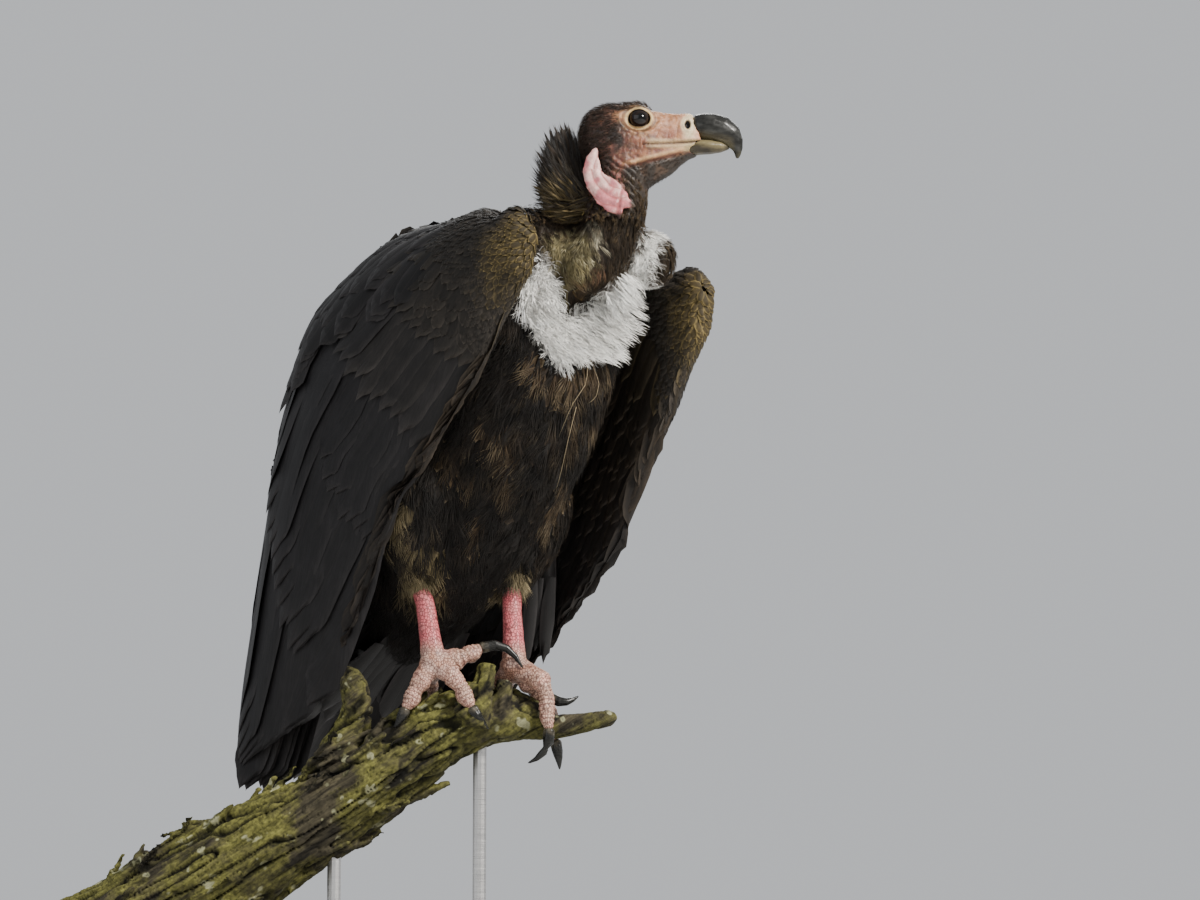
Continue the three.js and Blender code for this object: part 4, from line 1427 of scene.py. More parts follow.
SECONDARIES = Tract(18, (116, 100), (0.03, 0.95), (436, 250), (0.24, 0.97), (38, 34), (6.5, 1.6), 30, 4)
PRIMARIES = Tract(13, (262, 236), (0.03, 0.86), (470, 446), (0.05, 0.95), (38, 42), (7, 4), 112, 4)
GREATER_COVERTS = Tract(19, (60, 48), (0.03, 0.96), (200, 150), (0.05, 0.97), (27, 27), (6, 0.8), 8, 4)
MEDIAN_COVERTS = Tract(20, (30, 22), (0.03, 0.96), (118, 92), (0.04, 0.96), (22, 22), (5, 0.4), 4, 4)
PRIMARY_COVERTS = Tract(9, (166, 170), (0.02, 0.3), (312, 270), (0.03, 0.36), (24, 26), (5.5, 2.2), 6, 4)

FLIGHT_VANE = vane(14, 6, blunt=0.13, waist=0.5, cup=0.1, thick=0.022)
COVERT_VANE = vane(7, 4, blunt=0.26, waist=0.5, cup=0.12, thick=0.03)
SCALE_VANE = vane(4, 4, blunt=0.5, waist=0.55, cup=0.16, thick=0.045)
CONTOUR_VANE = vane(5, 4, blunt=0.42, waist=0.5, cup=0.14, thick=0.03)
HACKLE_VANE = vane(4, 2, blunt=0.8, waist=0.9, cup=0.2, thick=0.1, point=1.25)


# How far out of the middle each row of scapulars starts, their number, their length and their tips' rise.
SCAPULAR_ROWS = ((122, 12, 92, 3), (108, 13, 96, 3), (92, 14, 92, 3.5), (76, 15, 80, 3), (60, 15, 70, 2.5))


@dataclass
class Wing:
    """A folded wing: rows of long feathers, and small ones over its shoulder and edges."""

    side: Side
    drop: float
    voxel: float = 0.0025
    reach: float = 260  # lines are cast at the wing from this far out
    middle: float = 96  # about how far out it lies
    thin: float = 4  # its thickness where no line meets it
    sunk: float = 0.44  # the most that a feather lies under its face, as a share of the thickness
    hull: Hull = field(init=False)
    steps: Array = field(init=False)
    lead: Array = field(init=False)
    trail: Array = field(init=False)

    def __post_init__(self) -> None:
        """Measures the wing's edges off the frame."""
        self.hull = Hull.of(self.nodes(), self.voxel, 10)
        down, behind = self.lean(unplace(self.hull.points))
        self.steps = np.arange(-18, 590, 8)
        bands = [behind[np.abs(down - step) < 5] for step in self.steps]
        self.lead = np.array([band.min() for band in bands])
        self.trail = np.array([band.max() for band in bands])

    def nodes(self) -> list[str]:
        """The wing's CAD nodes."""
        return [f"wing_{self.side.word}_{part}" for part in ("coverts", "secondaries", "primaries")]

    def lean(self, points: Array) -> tuple[Array, Array]:
        """Down and behind on this wing."""
        return lean_of(points + (0, 0, self.drop))

    def share_of(self, points: Array) -> tuple[Array, Array]:
        """Down the wing, and the share of the way from its leading to its trailing edge."""
        down, behind = self.lean(points)
        lead, trail = (np.interp(down, self.steps, edge) for edge in (self.lead, self.trail))
        return down, (behind - lead) / (trail - lead)

    def surface(self, down: Array, share: Array, depth: Array) -> tuple[Array, Array]:
        """Places under the wing's outer face.

        Args:
            down: Millimetres down the wing.
            share: Share of the chord, from the leading edge.
            depth: Millimetres under the face, held to less than half the wing's thickness.

        Returns:
            The places in metres, and the normals there.
        """
        lead, trail = (np.interp(down, self.steps, edge) for edge in (self.lead, self.trail))
        behind = lead + (trail - lead) * share
        far, middle, near = (place(leaning(self.side.value * x, down, behind) - (0, 0, self.drop))
                             for x in (self.reach, self.middle, 0))
        outer, normal, run = self.hull.cast(far, (-self.side.value, 0, 0))
        _, _, back = self.hull.cast(near, (self.side.value, 0, 0))
        missed = ~np.isfinite(run)
        if missed.any():
            outer[missed], normal[missed] = self.hull.settle(middle[missed])
        thick = np.where(np.isfinite(run + back), self.reach * MM - run - back, self.thin * MM)
        depth = np.minimum(depth * MM, self.sunk * thick)
        return outer - normal * depth[:, None], normal

    def fan(self, tract: Tract, seed: int, stations: int = 7) -> Lay:
        """Lays out one row of long feathers."""
        rng = default_rng(seed)
        swell = tract.arch * (1 - (2 * tract.shares() - 1) ** 2)
        pairs = (tract.root_down, tract.root_share, tract.tip_down, tract.tip_share)
        root_down, root_share, tip_down, tip_share = (tract.between(pair)[:, None] for pair in pairs)
        tip_down = tip_down + (swell + rng.normal(0, tract.jitter, tract.count))[:, None]
        t = np.linspace(0, 1, stations + 1)[None, :]
        down = root_down + (tip_down - root_down) * t
        share = root_share + (tip_share - root_share) * t**1.3
        depth = np.broadcast_to(tract.depth[0] + (tract.depth[1] - tract.depth[0]) * t, down.shape)
        points, normals = self.surface(down.ravel(), share.ravel(), depth.ravel())
        shape = (*down.shape, 3)
        width = tract.between(tract.width) * (1 + 0.05 * rng.normal(size=tract.count))
        return Lay(points.reshape(shape), normals.reshape(shape), width * MM)

    def flights(self) -> None:
        """Builds primaries, secondaries and the long coverts."""
        coat = Plumage(f"wing_{self.side.word}_flight_feathers", FeatherFinish("flight_feather"), round_wing)
        c = COLOURS
        tilt = 1.3 * self.side.value
        for seed, tract in enumerate((PRIMARIES, SECONDARIES, PRIMARY_COVERTS), 20):
            lay = self.fan(tract, seed)
            coat.add(FLIGHT_VANE, lay, c.slate, blend(c.slate, c.slate_edge, 0.6), tilt, 0.03, seed)
        for seed, tract in enumerate((GREATER_COVERTS, MEDIAN_COVERTS), 30):
            lay = self.fan(tract, seed, 5)
            share = self.share_of(lay.roots)[1]
            pair = wing_colours(unplace(lay.points[:, 3]), share, self.drop)
            coat.add(COVERT_VANE, lay, *pair, tilt * 0.8, 0.1, seed)
        show(coat.build(), "flight_feather", *self.nodes()[2:])

    def outside(self, normals: Array) -> Array:
        """Which normals look away from the body."""
        return normals[:, 0] * self.side.value > -0.15

    def flow(self, points: Array, outward: float = 0.9) -> Array:
        """The lie of the wing's small feathers, turned outward over its top."""
        down, share = self.share_of(points)
        turn = 0.45 * smooth(60, -10, down) - 0.25 * smooth(0.5, 0.1, share) * smooth(20, 80, down)
        over = outward * smooth(45, 0, down)[:, None] * np.array([self.side.value, 0, 0])
        return DOWN + turn[:, None] * BEHIND + over

    def small_feathers(self) -> None:
        """Builds the lesser and marginal coverts, and the soft lining of the inner face."""
        finish = FeatherFinish("covert_feather", 0.65, 16)
        coat = Plumage(f"wing_{self.side.word}_small_feathers", finish, round_wing)
        c = COLOURS
        rng = default_rng(40)

        def band(spacing: float, length: float, width: float, rise: Pair, seed: int,
                 keep: Keep, pattern: Pattern, plain: float = 0) -> None:
            """Adds one size of feather where a test says so; plain dulls its colours."""
            roots, _ = self.hull.scatter(spacing, seed, keep)
            size = rng.uniform(0.85, 1.2, len(roots))
            lay = comb(self.hull, roots, lambda p: self.flow(p, 0.9 * (plain == 0)), length * size,
                       width * size, rise, 3, rng.normal(0, 0.12, len(roots)), 0.8)
            down, share = self.share_of(lay.roots)
            pair = wing_colours(lay.roots, share * (1 - plain), self.drop)
            pair = blend_pair(pair, c.lining, c.lining_edge, smooth(28, 66, down) * (plain > 0))
            pair = blend_pair(pair, c.black, c.black, plain * smooth(90, 220, down))
            coat.add(pattern, lay, *pair, 0.2 * self.side.value, 0.12, seed, 0.2)

        def shoulder(points: Array, normals: Array) -> Array:
            """The wrist and the leading edge."""
            down, share = self.share_of(points)
            front = down < 42 + 46 * smooth(0.2, 0.02, share)
            return (front & (self.outside(normals) | (share < 0.12))) | (down < 58 - 70 * share)

        def lesser(points: Array, normals: Array) -> Array:
            """The next feathers down the outer face."""
            down, share = self.share_of(points)
            return (down > 26) & (down < 88 - 20 * share) & self.outside(normals)

        def lining(points: Array, normals: Array) -> Array:
            """The inner face."""
            down = self.share_of(points)[0]
            return ~self.outside(normals) & (down > 30) & (down < 350)

        band(9, 62, 16, (-3.2, 0.2), 43, lining, COVERT_VANE, 0.7)
        band(8.2, 25, 14.5, (-2.8, 0.3), 42, lesser, CONTOUR_VANE)
        band(4.4, 15, 9, (-3.2, -0.6), 44, shoulder, SCALE_VANE)
        band(3.7, 11, 6.6, (-2.2, 0.7), 41, shoulder, SCALE_VANE)
        # Over the wrist's top, where the lie of the outer and inner feathers parts.
        band(4.8, 14, 9.5, (-2.8, -0.6), 45, lambda points, _: self.share_of(points)[0] < 30,
             SCALE_VANE, 0.01)
        show(coat.build(), "body_feather")


# ---- body plumage ----


@dataclass
class BodyCoat:
    """Plumage of trunk, crop, thighs and tail."""

    wings: list[Wing]
    hull: Hull = field(init=False)
    back: Hull = field(init=False)

    def __post_init__(self) -> None:
        """Joins the frame's solids to the surfaces that the feathers lie on."""
        self.hull = Hull.of(["trunk", "neck", "thigh_right", "thigh_left"], 0.004, 12)
        inner = [node for wing in self.wings for node in wing.nodes()[:2]]
        self.back = Hull.of(["trunk", *inner], 0.006, 30)

    @staticmethod
    def flow(points: Array) -> Array:
        """The lie of the body's plumage."""
        x, y, z = points.T
        heading = np.broadcast_to(DOWN, points.shape)
        high = smooth(270, 330, z) * smooth(-60, -110, y)
        heading = blend(heading, (0, -0.25, -1), high)
        leg = np.maximum(*(smooth(60, 30, to_line(points, *ends)[0]) for ends in THIGH_LINES))
        heading = blend(heading, (0, 0.08, -1), leg)
        splay = 0.35 * np.clip(x / 80, -1, 1) * smooth(330, 280, z) * smooth(150, 240, z)
        return heading + splay[:, None] * np.array([1, 0, 0])

    def free(self, points: Array) -> Array:
        """Which places are not inside a wing."""
        metres = place(points)
        return np.all([wing.hull.outside_by(metres) > -0.001 for wing in self.wings], axis=0)

    def hidden(self, points: Array) -> Array:
        """Which places lie close behind a wing, where the coat can be thin."""
        down, behind = lean_of(points)
        return (np.abs(points[:, 0]) > 66) & (behind > 12) & (behind < 140) & (down < 290)

    def is_back(self, points: Array) -> Array:
        """Which places the mantle covers."""
        down, behind = lean_of(points)
        return (behind > 62) & (down < 300)

    def laid(self, spacing: float, length: Pair, width: float, rise: Pair,
             seed: int, keep: Keep, stray: float = 0.2, stations: int = 3,
             clump: float = 0) -> Lay:
        """Scatters feathers over the body and combs them.

        Args:
            spacing: The least distance between roots.
            length: The shortest and the longest feather.
            width: The feathers' width.
            rise: Height over the hull at root and tip.
            seed: The seed of the draws.
            keep: Which places get feathers.
            stray: How far they turn from the lie, in radians.
            stations: The steps along each feather.
            clump: How far clumps of feathers stand out.

        Returns:
            The lay.
        """
        rng = default_rng(seed)
        roots, _ = self.hull.scatter(spacing, seed, keep)
        roots = roots[self.free(unplace(roots))]
        size = rng.uniform(0, 1, len(roots))
        clumps = mottle(unplace(roots), 16, 16)
        turn = rng.normal(0, stray, len(roots)) + 0.5 * mottle(unplace(roots), 24, 17)
        rise = (rise[0], rise[1] + clump * clumps)
        return comb(self.hull, roots, self.flow, length[0] + (length[1] - length[0]) * size,
                    width * rng.uniform(0.85, 1.15, len(roots)), rise, stations, turn, 1.2)

    def is_plain(self, points: Array) -> Array:
        """Which places carry neither down nor crop fur."""
        return (white_share(points) < 0.5) & (crop_share(points) < 0.5)

    def contours(self) -> None:
        """Builds the flat feathers that underlie the plumes."""
        coat = Plumage("body_contour_feathers", FeatherFinish("contour_feather", 0.75, 12, 0.45), round_body)

        lay = self.laid(8, (28, 40), 19, (-5, -2), 50,
                        lambda points, _: self.is_plain(points) & ~self.is_back(points), 0.25)
        base, fringe = body_colours(unplace(lay.points[:, 1]))
        coat.add(CONTOUR_VANE, lay, base, fringe, ragged=0.25, seed=50, uneven=0.25)
        show(coat.build(), "body_feather")

    def plumes(self) -> None:
        """Builds the soft plumes of breast, belly, flanks and vent."""
        finish = PlumeFinish("body_plume")
        rng = default_rng(60)
        for number, low, high, spacing in ((1, 185, 400, 4.8), (2, -60, 185, 5.3)):
            coat = Plumage(f"body_plumes_{number}", finish, round_body)

            def keep(points: Array, normals: Array) -> Array:
                """The front and the flanks, between two levels."""
                z = points[:, 2]
                bare = self.hidden(points) & (rng.random(len(points)) < 0.85)
                return (z >= low) & (z < high) & self.is_plain(points) & ~self.is_back(points) & ~bare

            lay = self.laid(spacing, (26, 44), 15, (-4, 1.5), 60 + number, keep, 0.28, 4, 4.5)
            base, fringe = body_colours(unplace(lay.points[:, 1]))
            dull = smooth(0.1, 0.9, rng.random(len(base)))
            for kind in range(3):
                mine = np.arange(len(base)) % 3 == kind
                pattern = plume(7, 3, 0.075, 0.85, 70 + kind)
                coat.add(pattern, Lay(lay.points[mine], lay.normals[mine], lay.width[mine]), base[mine],
                         blend(base, fringe, dull)[mine], seed=kind, uneven=0.22)
            show(coat.build(), "body_feather")

    def breast_down(self) -> None:
        """Builds the white down under the crop."""
        coat = Plumage("breast_down", PlumeFinish("white_down", 0.85, 0.2, 0.06), round_body)
        for kind in range(2):
            lay = self.laid(4.1, (9, 17), 10, (-3.5, 1.5), 80 + kind,
                            lambda points, _: white_share(points) > 0.3, 0.8)
            base, fringe = body_colours(lay.roots)
            coat.add(plume(8, 3, 0.085, 1, 82 + kind, 0.3), lay, base, fringe, seed=kind, uneven=0.05)

        def edge(points: Array, normals: Array) -> Array:
            """The patch's far edge, where the down fills the way to the wing."""
            facing = normals @ LEFT_FRONT
            return (white_share(points) > 0.3) & (facing > 0.35) & (points[:, 2] > 262) & (points[:, 2] < 332)

        roots, normals = self.hull.scatter(4, 84, edge)
        rng = default_rng(85)
        heading = unit(0.85 * normals + np.array([0.25, -0.25, -0.75]) + rng.normal(0, 0.15, roots.shape))
        lay = spray(roots - normals * 0.002, normals, heading, rng.uniform(18, 32, len(roots)), 12, 0.15)
        coat.add(plume(8, 3, 0.085, 1, 86, 0.3), lay, COLOURS.white, COLOURS.white, seed=3, uneven=0.05)
        show(coat.build(), "body_feather")

    def crop_fur(self) -> None:
        """Builds the short fur-like feathers of the crop and lower neck."""
        coat = Plumage("crop_fur", PlumeFinish("crop_plume", 0.75), round_body)

        def keep(points: Array, normals: Array) -> Array:
            """The crop, up to the ruff and the bare neck."""
            return (crop_share(points) > 0.45) & (points[:, 2] < 397 + 9 * mottle(points, 6, 18))

        lay = self.laid(3.3, (13, 22), 6.5, (-4, 0), 90, keep, 0.3)
        base, fringe = body_colours(lay.roots)
        light = smooth(-0.1, 0.5, mottle(lay.roots, 6, 12))
        coat.add(plume(5, 3, 0.11, 0.8, 91, 0.2), lay, base, blend(base, fringe, light), seed=1, uneven=0.25)
        draw = default_rng(92)

        def ragged(points: Array, normals: Array) -> Array:
            """The upper neck, ever thinner towards the bare skin."""
            z = points[:, 2]
            return (z > 376) & (crop_share(points) > 0.4) & (draw.random(len(z)) < smooth(422, 398, z))

        lay = self.laid(2.5, (9, 16), 5, (0.3, 3.2), 93, ragged, 0.35)
        coat.add(plume(4, 3, 0.12, 0.8, 94, 0.2), lay, COLOURS.crop, COLOURS.crop_edge, seed=2, uneven=0.3)
        show(coat.build(), "body_feather")

    def mantle(self) -> None:
        """Builds the feathers of the back, and the scapulars that close over the wings' edges."""
        coat = Plumage("mantle_and_scapulars", FeatherFinish("mantle_feather", 0.6, 18), round_body)
        c = COLOURS
        rng = default_rng(100)

        def keep(points: Array, normals: Array) -> Array:
            """The whole back between the wings."""
            down, behind = lean_of(points)
            return (normals @ BEHIND > 0.1) & (np.abs(points[:, 0]) < 88) & (down < 330) & (behind > 40)

        roots, _ = self.back.scatter(9, 101, keep)
        lay = comb(self.back, roots, lambda _: DOWN, rng.uniform(34, 52, len(roots)), 21, (-3.5, 1.5), 4,
                   rng.normal(0, 0.16, len(roots)))
        coat.add(CONTOUR_VANE, lay, c.black, c.slate_edge, ragged=0.2, seed=101, uneven=0.25)
        for side in Side:
            for row, (out, count, length, high) in enumerate(SCAPULAR_ROWS):
                down = np.linspace(2, 176, count) + rng.normal(0, 5, count)
                start = place(leaning(side.value * (out + rng.normal(0, 3, count)), down, 230))
                roots, _, run = self.back.cast(start, -BEHIND)
                roots = roots[np.isfinite(run)]
                high_up, behind = lean_of(unplace(roots))
                roots, high_up = roots[behind > 55], high_up[behind > 55]
                lay = comb(self.back, roots, lambda _: DOWN + (0.14 * side.value, 0, 0),
                           length * rng.uniform(0.8, 1.15, len(roots)), 20 + 14 * smooth(0, 50, high_up),
                           (-1, high), 5, rng.normal(0, 0.09, len(roots)), 1.4)
                coat.add(COVERT_VANE, lay, c.black, blend(c.black, c.slate_edge, 0.8), -1.2 * side.value,
                         0.14, 110 + row, 0.2)
        show(coat.build(), "body_feather")

    def cuffs(self) -> None:
        """Builds the loose plumes that hang round the top of each bare shank."""
        coat = Plumage("cuff_plumes", PlumeFinish("cuff_plume"), round_body)
        for foot in FEET:
            rng = default_rng(180 + foot.side.value)
            cuff, sole = np.array(foot.cuff, float), np.array(foot.sole, float)
            down = unit(sole - cuff)
            aside = unit(np.cross(down, (0, 1, 0)))
            count = 260
            turn = rng.uniform(0, 2 * math.pi, count)[:, None]
            out = np.cos(turn) * aside + np.sin(turn) * np.cross(down, aside)
            roots = cuff - down * rng.uniform(12, 26, count)[:, None]
            roots = roots + out * rng.uniform(5, 10, count)[:, None]
            heading = unit(down + out * rng.uniform(0.1, 0.5, count)[:, None] + rng.normal(0, 0.1, out.shape))
            pale = 0.8 * (foot.side is Side.LEFT) * smooth(-0.3, 0.5, out @ np.array([0.7, -0.7, 0]))
            buff = COLOURS.buff_edge
            base, fringe = blend_pair(body_colours(roots + (0, 0, 12)), buff, buff, pale)
            fringe = blend(base, fringe, 0.45 + 0.55 * pale)
            lay = spray(place(roots), out, heading, rng.uniform(16, 29, count), 8, 0.1)
            coat.add(plume(5, 3, 0.09, 0.8, 182, 0.2), lay, base, fringe, seed=1, uneven=0.25)
        show(coat.build(), "body_feather")

    def tail(self) -> None:
        """Builds the folded tail."""
        coat = Plumage("tail_feathers", FeatherFinish("tail_feather"), round_body)
        hull = Hull.of(["tail"], 0.0025, 8)
        root, tip = np.array([0, 84, 50]), np.array([0, 250, -92])
        lift = unit(np.cross(tip - root, (-1, 0, 0)))
        count, stations = 12, 7
        spread = np.linspace(-1, 1, count)[:, None]
        t = np.linspace(0, 1, stations + 1)[None, :]
        reach = t * (0.985 - 0.05 * np.abs(spread))
        middle = root + (tip - root) * reach[..., None]
        middle[..., 0] = spread * (12 + 26 * t**0.8)
        points, normals, run = hull.cast(place(middle + lift * 60).reshape(-1, 3), -lift)
        near, near_normals = hull.settle(place(middle).reshape(-1, 3))
        missed = ~np.isfinite(run)
        points[missed], normals[missed] = near[missed], near_normals[missed]
        points, normals = points.reshape(*middle.shape), normals.reshape(*middle.shape)
        points = points - normals * 3.5 * MM
        points += normals * (2.2 * (1 - np.abs(spread)))[..., None] * MM
        lay = Lay(points, normals, np.full(count, 38 * MM))
        coat.add(FLIGHT_VANE, lay, COLOURS.slate, COLOURS.slate_edge, ragged=0.05, seed=120)
        rng = default_rng(121)
        for side, low, seed in ((1, 0, 122), (-1, -22, 123)):
            across = np.linspace(-44, 44, 15) + rng.normal(0, 3, 15)
            at = root + (tip - root) * rng.uniform(-0.1, 0.16, 15)[:, None] + lift * low
            at[:, 0] = across
            heading = unit(tip - root) + np.stack([0.004 * across, 0 * across, rng.normal(0, 0.05, 15)], 1)
            lay = spray(place(at), np.broadcast_to(side * lift, at.shape), heading,
                        rng.uniform(84, 112, 15), 30, 0.04, 5)
            coat.add(COVERT_VANE, lay, COLOURS.black, COLOURS.slate_edge, ragged=0.12, seed=seed)
        for side in Side:
            t = np.linspace(0, 1, 9)[:, None]
            start = np.array([44, 146, 46]) + t * (34, -6, 20) + rng.normal(0, 1.5, (9, 3))
            end = np.array([54, 196, -97]) + t * (29, 18, -5) + rng.normal(0, 2.5, (9, 3))
            start, end = start * (side.value, 1, 1), end * (side.value, 1, 1)
            face = np.broadcast_to(unit(np.array([0.85 * side.value, -0.35, 0.15])), start.shape)
            run = end - start
            lay = spray(place(start), face, unit(run), np.linalg.norm(run, axis=1), 36, 0.02, 7)
            coat.add(FLIGHT_VANE, lay, COLOURS.slate, COLOURS.slate_edge, 1.2 * side.value, 0.05, 124)
        show(coat.build(), "flight_feather", "tail")

    def strays(self) -> None:
        """Builds the loose filaments on the breast and the plumes that hang by the left leg."""
        coat = Plumage("stray_feathers", PlumeFinish("stray_plume", 0.6), round_body)
        c = COLOURS
        paths = (((6, -133, 262), (-4, -142, 236), (-20, -139, 214), (-29, -131, 184)),
                 ((9, -133, 258), (12, -141, 238), (6, -143, 224), (-3, -141, 217)),
                 ((-14, -139, 214), (-18, -134, 188), (-17, -124, 160), (-12, -110, 138)))
        filament = plume(1, 8, 0.5, 0, 1)
        for path in paths:
            points = place(np.array([path]))
            normals = np.broadcast_to((0, -1, 0), points.shape)
            coat.add(filament, Lay(points, normals, np.array([1.5 * MM])), c.wisp, c.buff_edge, uneven=0)
        rng = default_rng(130)
        count, beside_leg = 16, np.array([84, 4, 96])
        roots = place(beside_leg + rng.normal(0, (8, 9, 10), (count, 3)))
        normals = unit(np.array([-0.7, -0.7, 0]) + rng.normal(0, 0.35, (count, 3)))
        heading = np.array([0.02, 0.22, -1]) + rng.normal(0, 0.07, (count, 3))
        lay = spray(roots, normals, heading, rng.uniform(62, 88, count), 15, 0.12, 4)
        coat.add(CONTOUR_VANE, lay, c.black, c.slate_edge, ragged=0.3, seed=131, uneven=0.3)
        show(coat.build(), "body_feather")


@dataclass
class Ruff:
    """The collar behind the neck: dark hackles in a thick bed of soft plumes."""

    low: Array = field(default_factory=lambda: np.array([4, -150, 352]))
    high: Array = field(default_factory=lambda: np.array([3, -156, 412]))

    def build(self) -> None:
        """Lays every plume and hackle so that it ends at the collar's outline."""
        hull = Hull.of(["ruff"], 0.003, 6)
        coat = Plumage("ruff_hackles", FeatherFinish("hackle", 0.65, 10, 0.4), round_head)
        soft = Plumage("ruff_plumes", PlumeFinish("ruff_plume", 0.8, 0.1, 0.2), round_head)
        for layer, (spacing, sunk, width) in enumerate(((6, 0.5, 4), (5, 6, 5.5), (6, 12, 6))):
            self.layer(coat, HACKLE_VANE, hull, spacing, sunk, width, 140 + layer, 0.12)
        for layer, (spacing, sunk, width) in enumerate(((4.4, 0, 10), (4.8, 3.5, 12), (6, 8, 13))):
            self.layer(soft, plume(6, 3, 0.07, 0.6, 145 + layer, 0.3, 0.05), hull, spacing, sunk, width,
                       150 + layer, 0.16)
        show(coat.build(), "ruff_feather", "ruff")
        show(soft.build(), "ruff_feather")

    def layer(self, coat: Plumage, pattern: Pattern, hull: Hull, spacing: float, sunk: float, width: float,
              seed: int, loose: float) -> None:
        """Adds one layer of the collar.

        Args:
            coat: Where its feathers go.
            pattern: The shape of each.
            hull: The collar's outline.
            spacing: The least distance between tips.
            sunk: How far under the outline the tips end.
            width: Each feather's width.
            seed: The seed of the draws.
            loose: How far they turn from the lie.
        """
        c = COLOURS
        rng = default_rng(seed)
        tips, normals = hull.scatter(spacing, seed, lambda p, n: p[:, 2] > 336)
        tips = tips - normals * sunk * MM
        mm = unplace(tips)
        _, along = to_line(mm, self.low, self.high)
        outward = unit(mm - (self.low + (self.high - self.low) * along[:, None]))
        fan = np.clip((mm[:, 2] - 376) / 42, -1.1, 1.2)[:, None] * np.array([0, 0, 0.85])
        heading = unit(0.9 * outward + 0.3 * normals + fan + rng.normal(0, loose, tips.shape))
        length = rng.uniform(32, 48, len(tips))
        tips = tips + heading * (rng.uniform(-4, 3, len(tips)) * MM)[:, None]
        roots = tips - heading * (length * MM)[:, None]
        face = unit(normals + rng.normal(0, 0.25, tips.shape) + 0.2 * np.array([-0.7, -0.7, 0.2]))
        lay = spray(roots, face, heading, length, width, -0.16)
        # Painted sheen: a gold band over the collar's lower front, strongest on the soft plumes.
        gold = smooth(350, 380, mm[:, 2]) * smooth(440, 398, mm[:, 2])
        gold = gold * smooth(-0.45, 0.25, mottle(mm, 12, 13)) * smooth(-98, -122, mm[:, 1])
        base = blend(c.ruff, c.ruff_gold, gold * (0.95 if width > 9 else 0.5))
        coat.add(pattern, lay, base, blend(c.ruff, base, 0.35 + 0.4 * (width > 9)), 0, 0.2, seed + 1, 0.28)


# ---- skin, bill, eyes and claws ----


@dataclass(frozen=True)
class Toe:
    """One toe's line and its claw's point."""

    knuckle: Spot
    tip: Spot
    point: Spot


@dataclass(frozen=True)
class Foot:
    """A shank and its four toes."""

    side: Side
    cuff: Spot
    sole: Spot
    toes: tuple[Toe, ...]


FEET = (
    Foot(Side.RIGHT, (-43, 22, 66), (-41, 9, 2), (
        Toe((-24, -7, 7), (-7, -16, 16), (19, -41, -3)),
        Toe((-34, -8, -9), (-25, -24, -39), (-13, -31, -56)),
        Toe((-52, 14, -13), (-64, 21, -40), (-70, 28, -55)),
        Toe((-26, 30, -4), (-9, 50, -24), (-3, 57, -50)))),
    Foot(Side.LEFT, (33, -11, 67), (25, -23, 2), (
        Toe((54, -31, -23), (55, -44, -65), (55, -49, -89)),
        Toe((31, -54, -14), (31, -60, -57), (19, -45, -85)),
        Toe((45, -34, -20), (50, -45, -27), (68, -60, -24)),
        Toe((28, 0, -16), (32, 12, -40), (27, 11, -64)))),
)
TOE_NAMES = ("inner", "middle", "outer", "hind")
LAPPETS = ("lappet_right", "lappet_left")


class Region(Enum):
    """The skin's regions, as the order of its materials."""

    FEATHERED = 0
    HEAD = 1
    LEG = 2
    LAPPET = 3


SKIN_FINISHES = (BareSkin("feathered_skin", 0.8), BareSkin("bare_head_skin"), ScaledSkin("leg_scales"),
                 BareSkin("lappet_skin", 0.45, 150, 0.0004, 0.1))


def biggest(piece: Piece) -> None:
    """Keeps only an object's largest shell."""
    with shaping(piece.data) as shape:
        left, shells = set(shape.verts), []
        while left:
            queue = [left.pop()]
            shell = set(queue)
            while queue:
                corner = queue.pop()
                near = {edge.other_vert(corner) for edge in corner.link_edges} - shell
                shell |= near
                queue += near
            left -= shell
            shells.append(shell)
        shells.sort(key=len)
        bmesh.ops.delete(shape, geom=[v for shell in shells[:-1] for v in shell], context="VERTS")


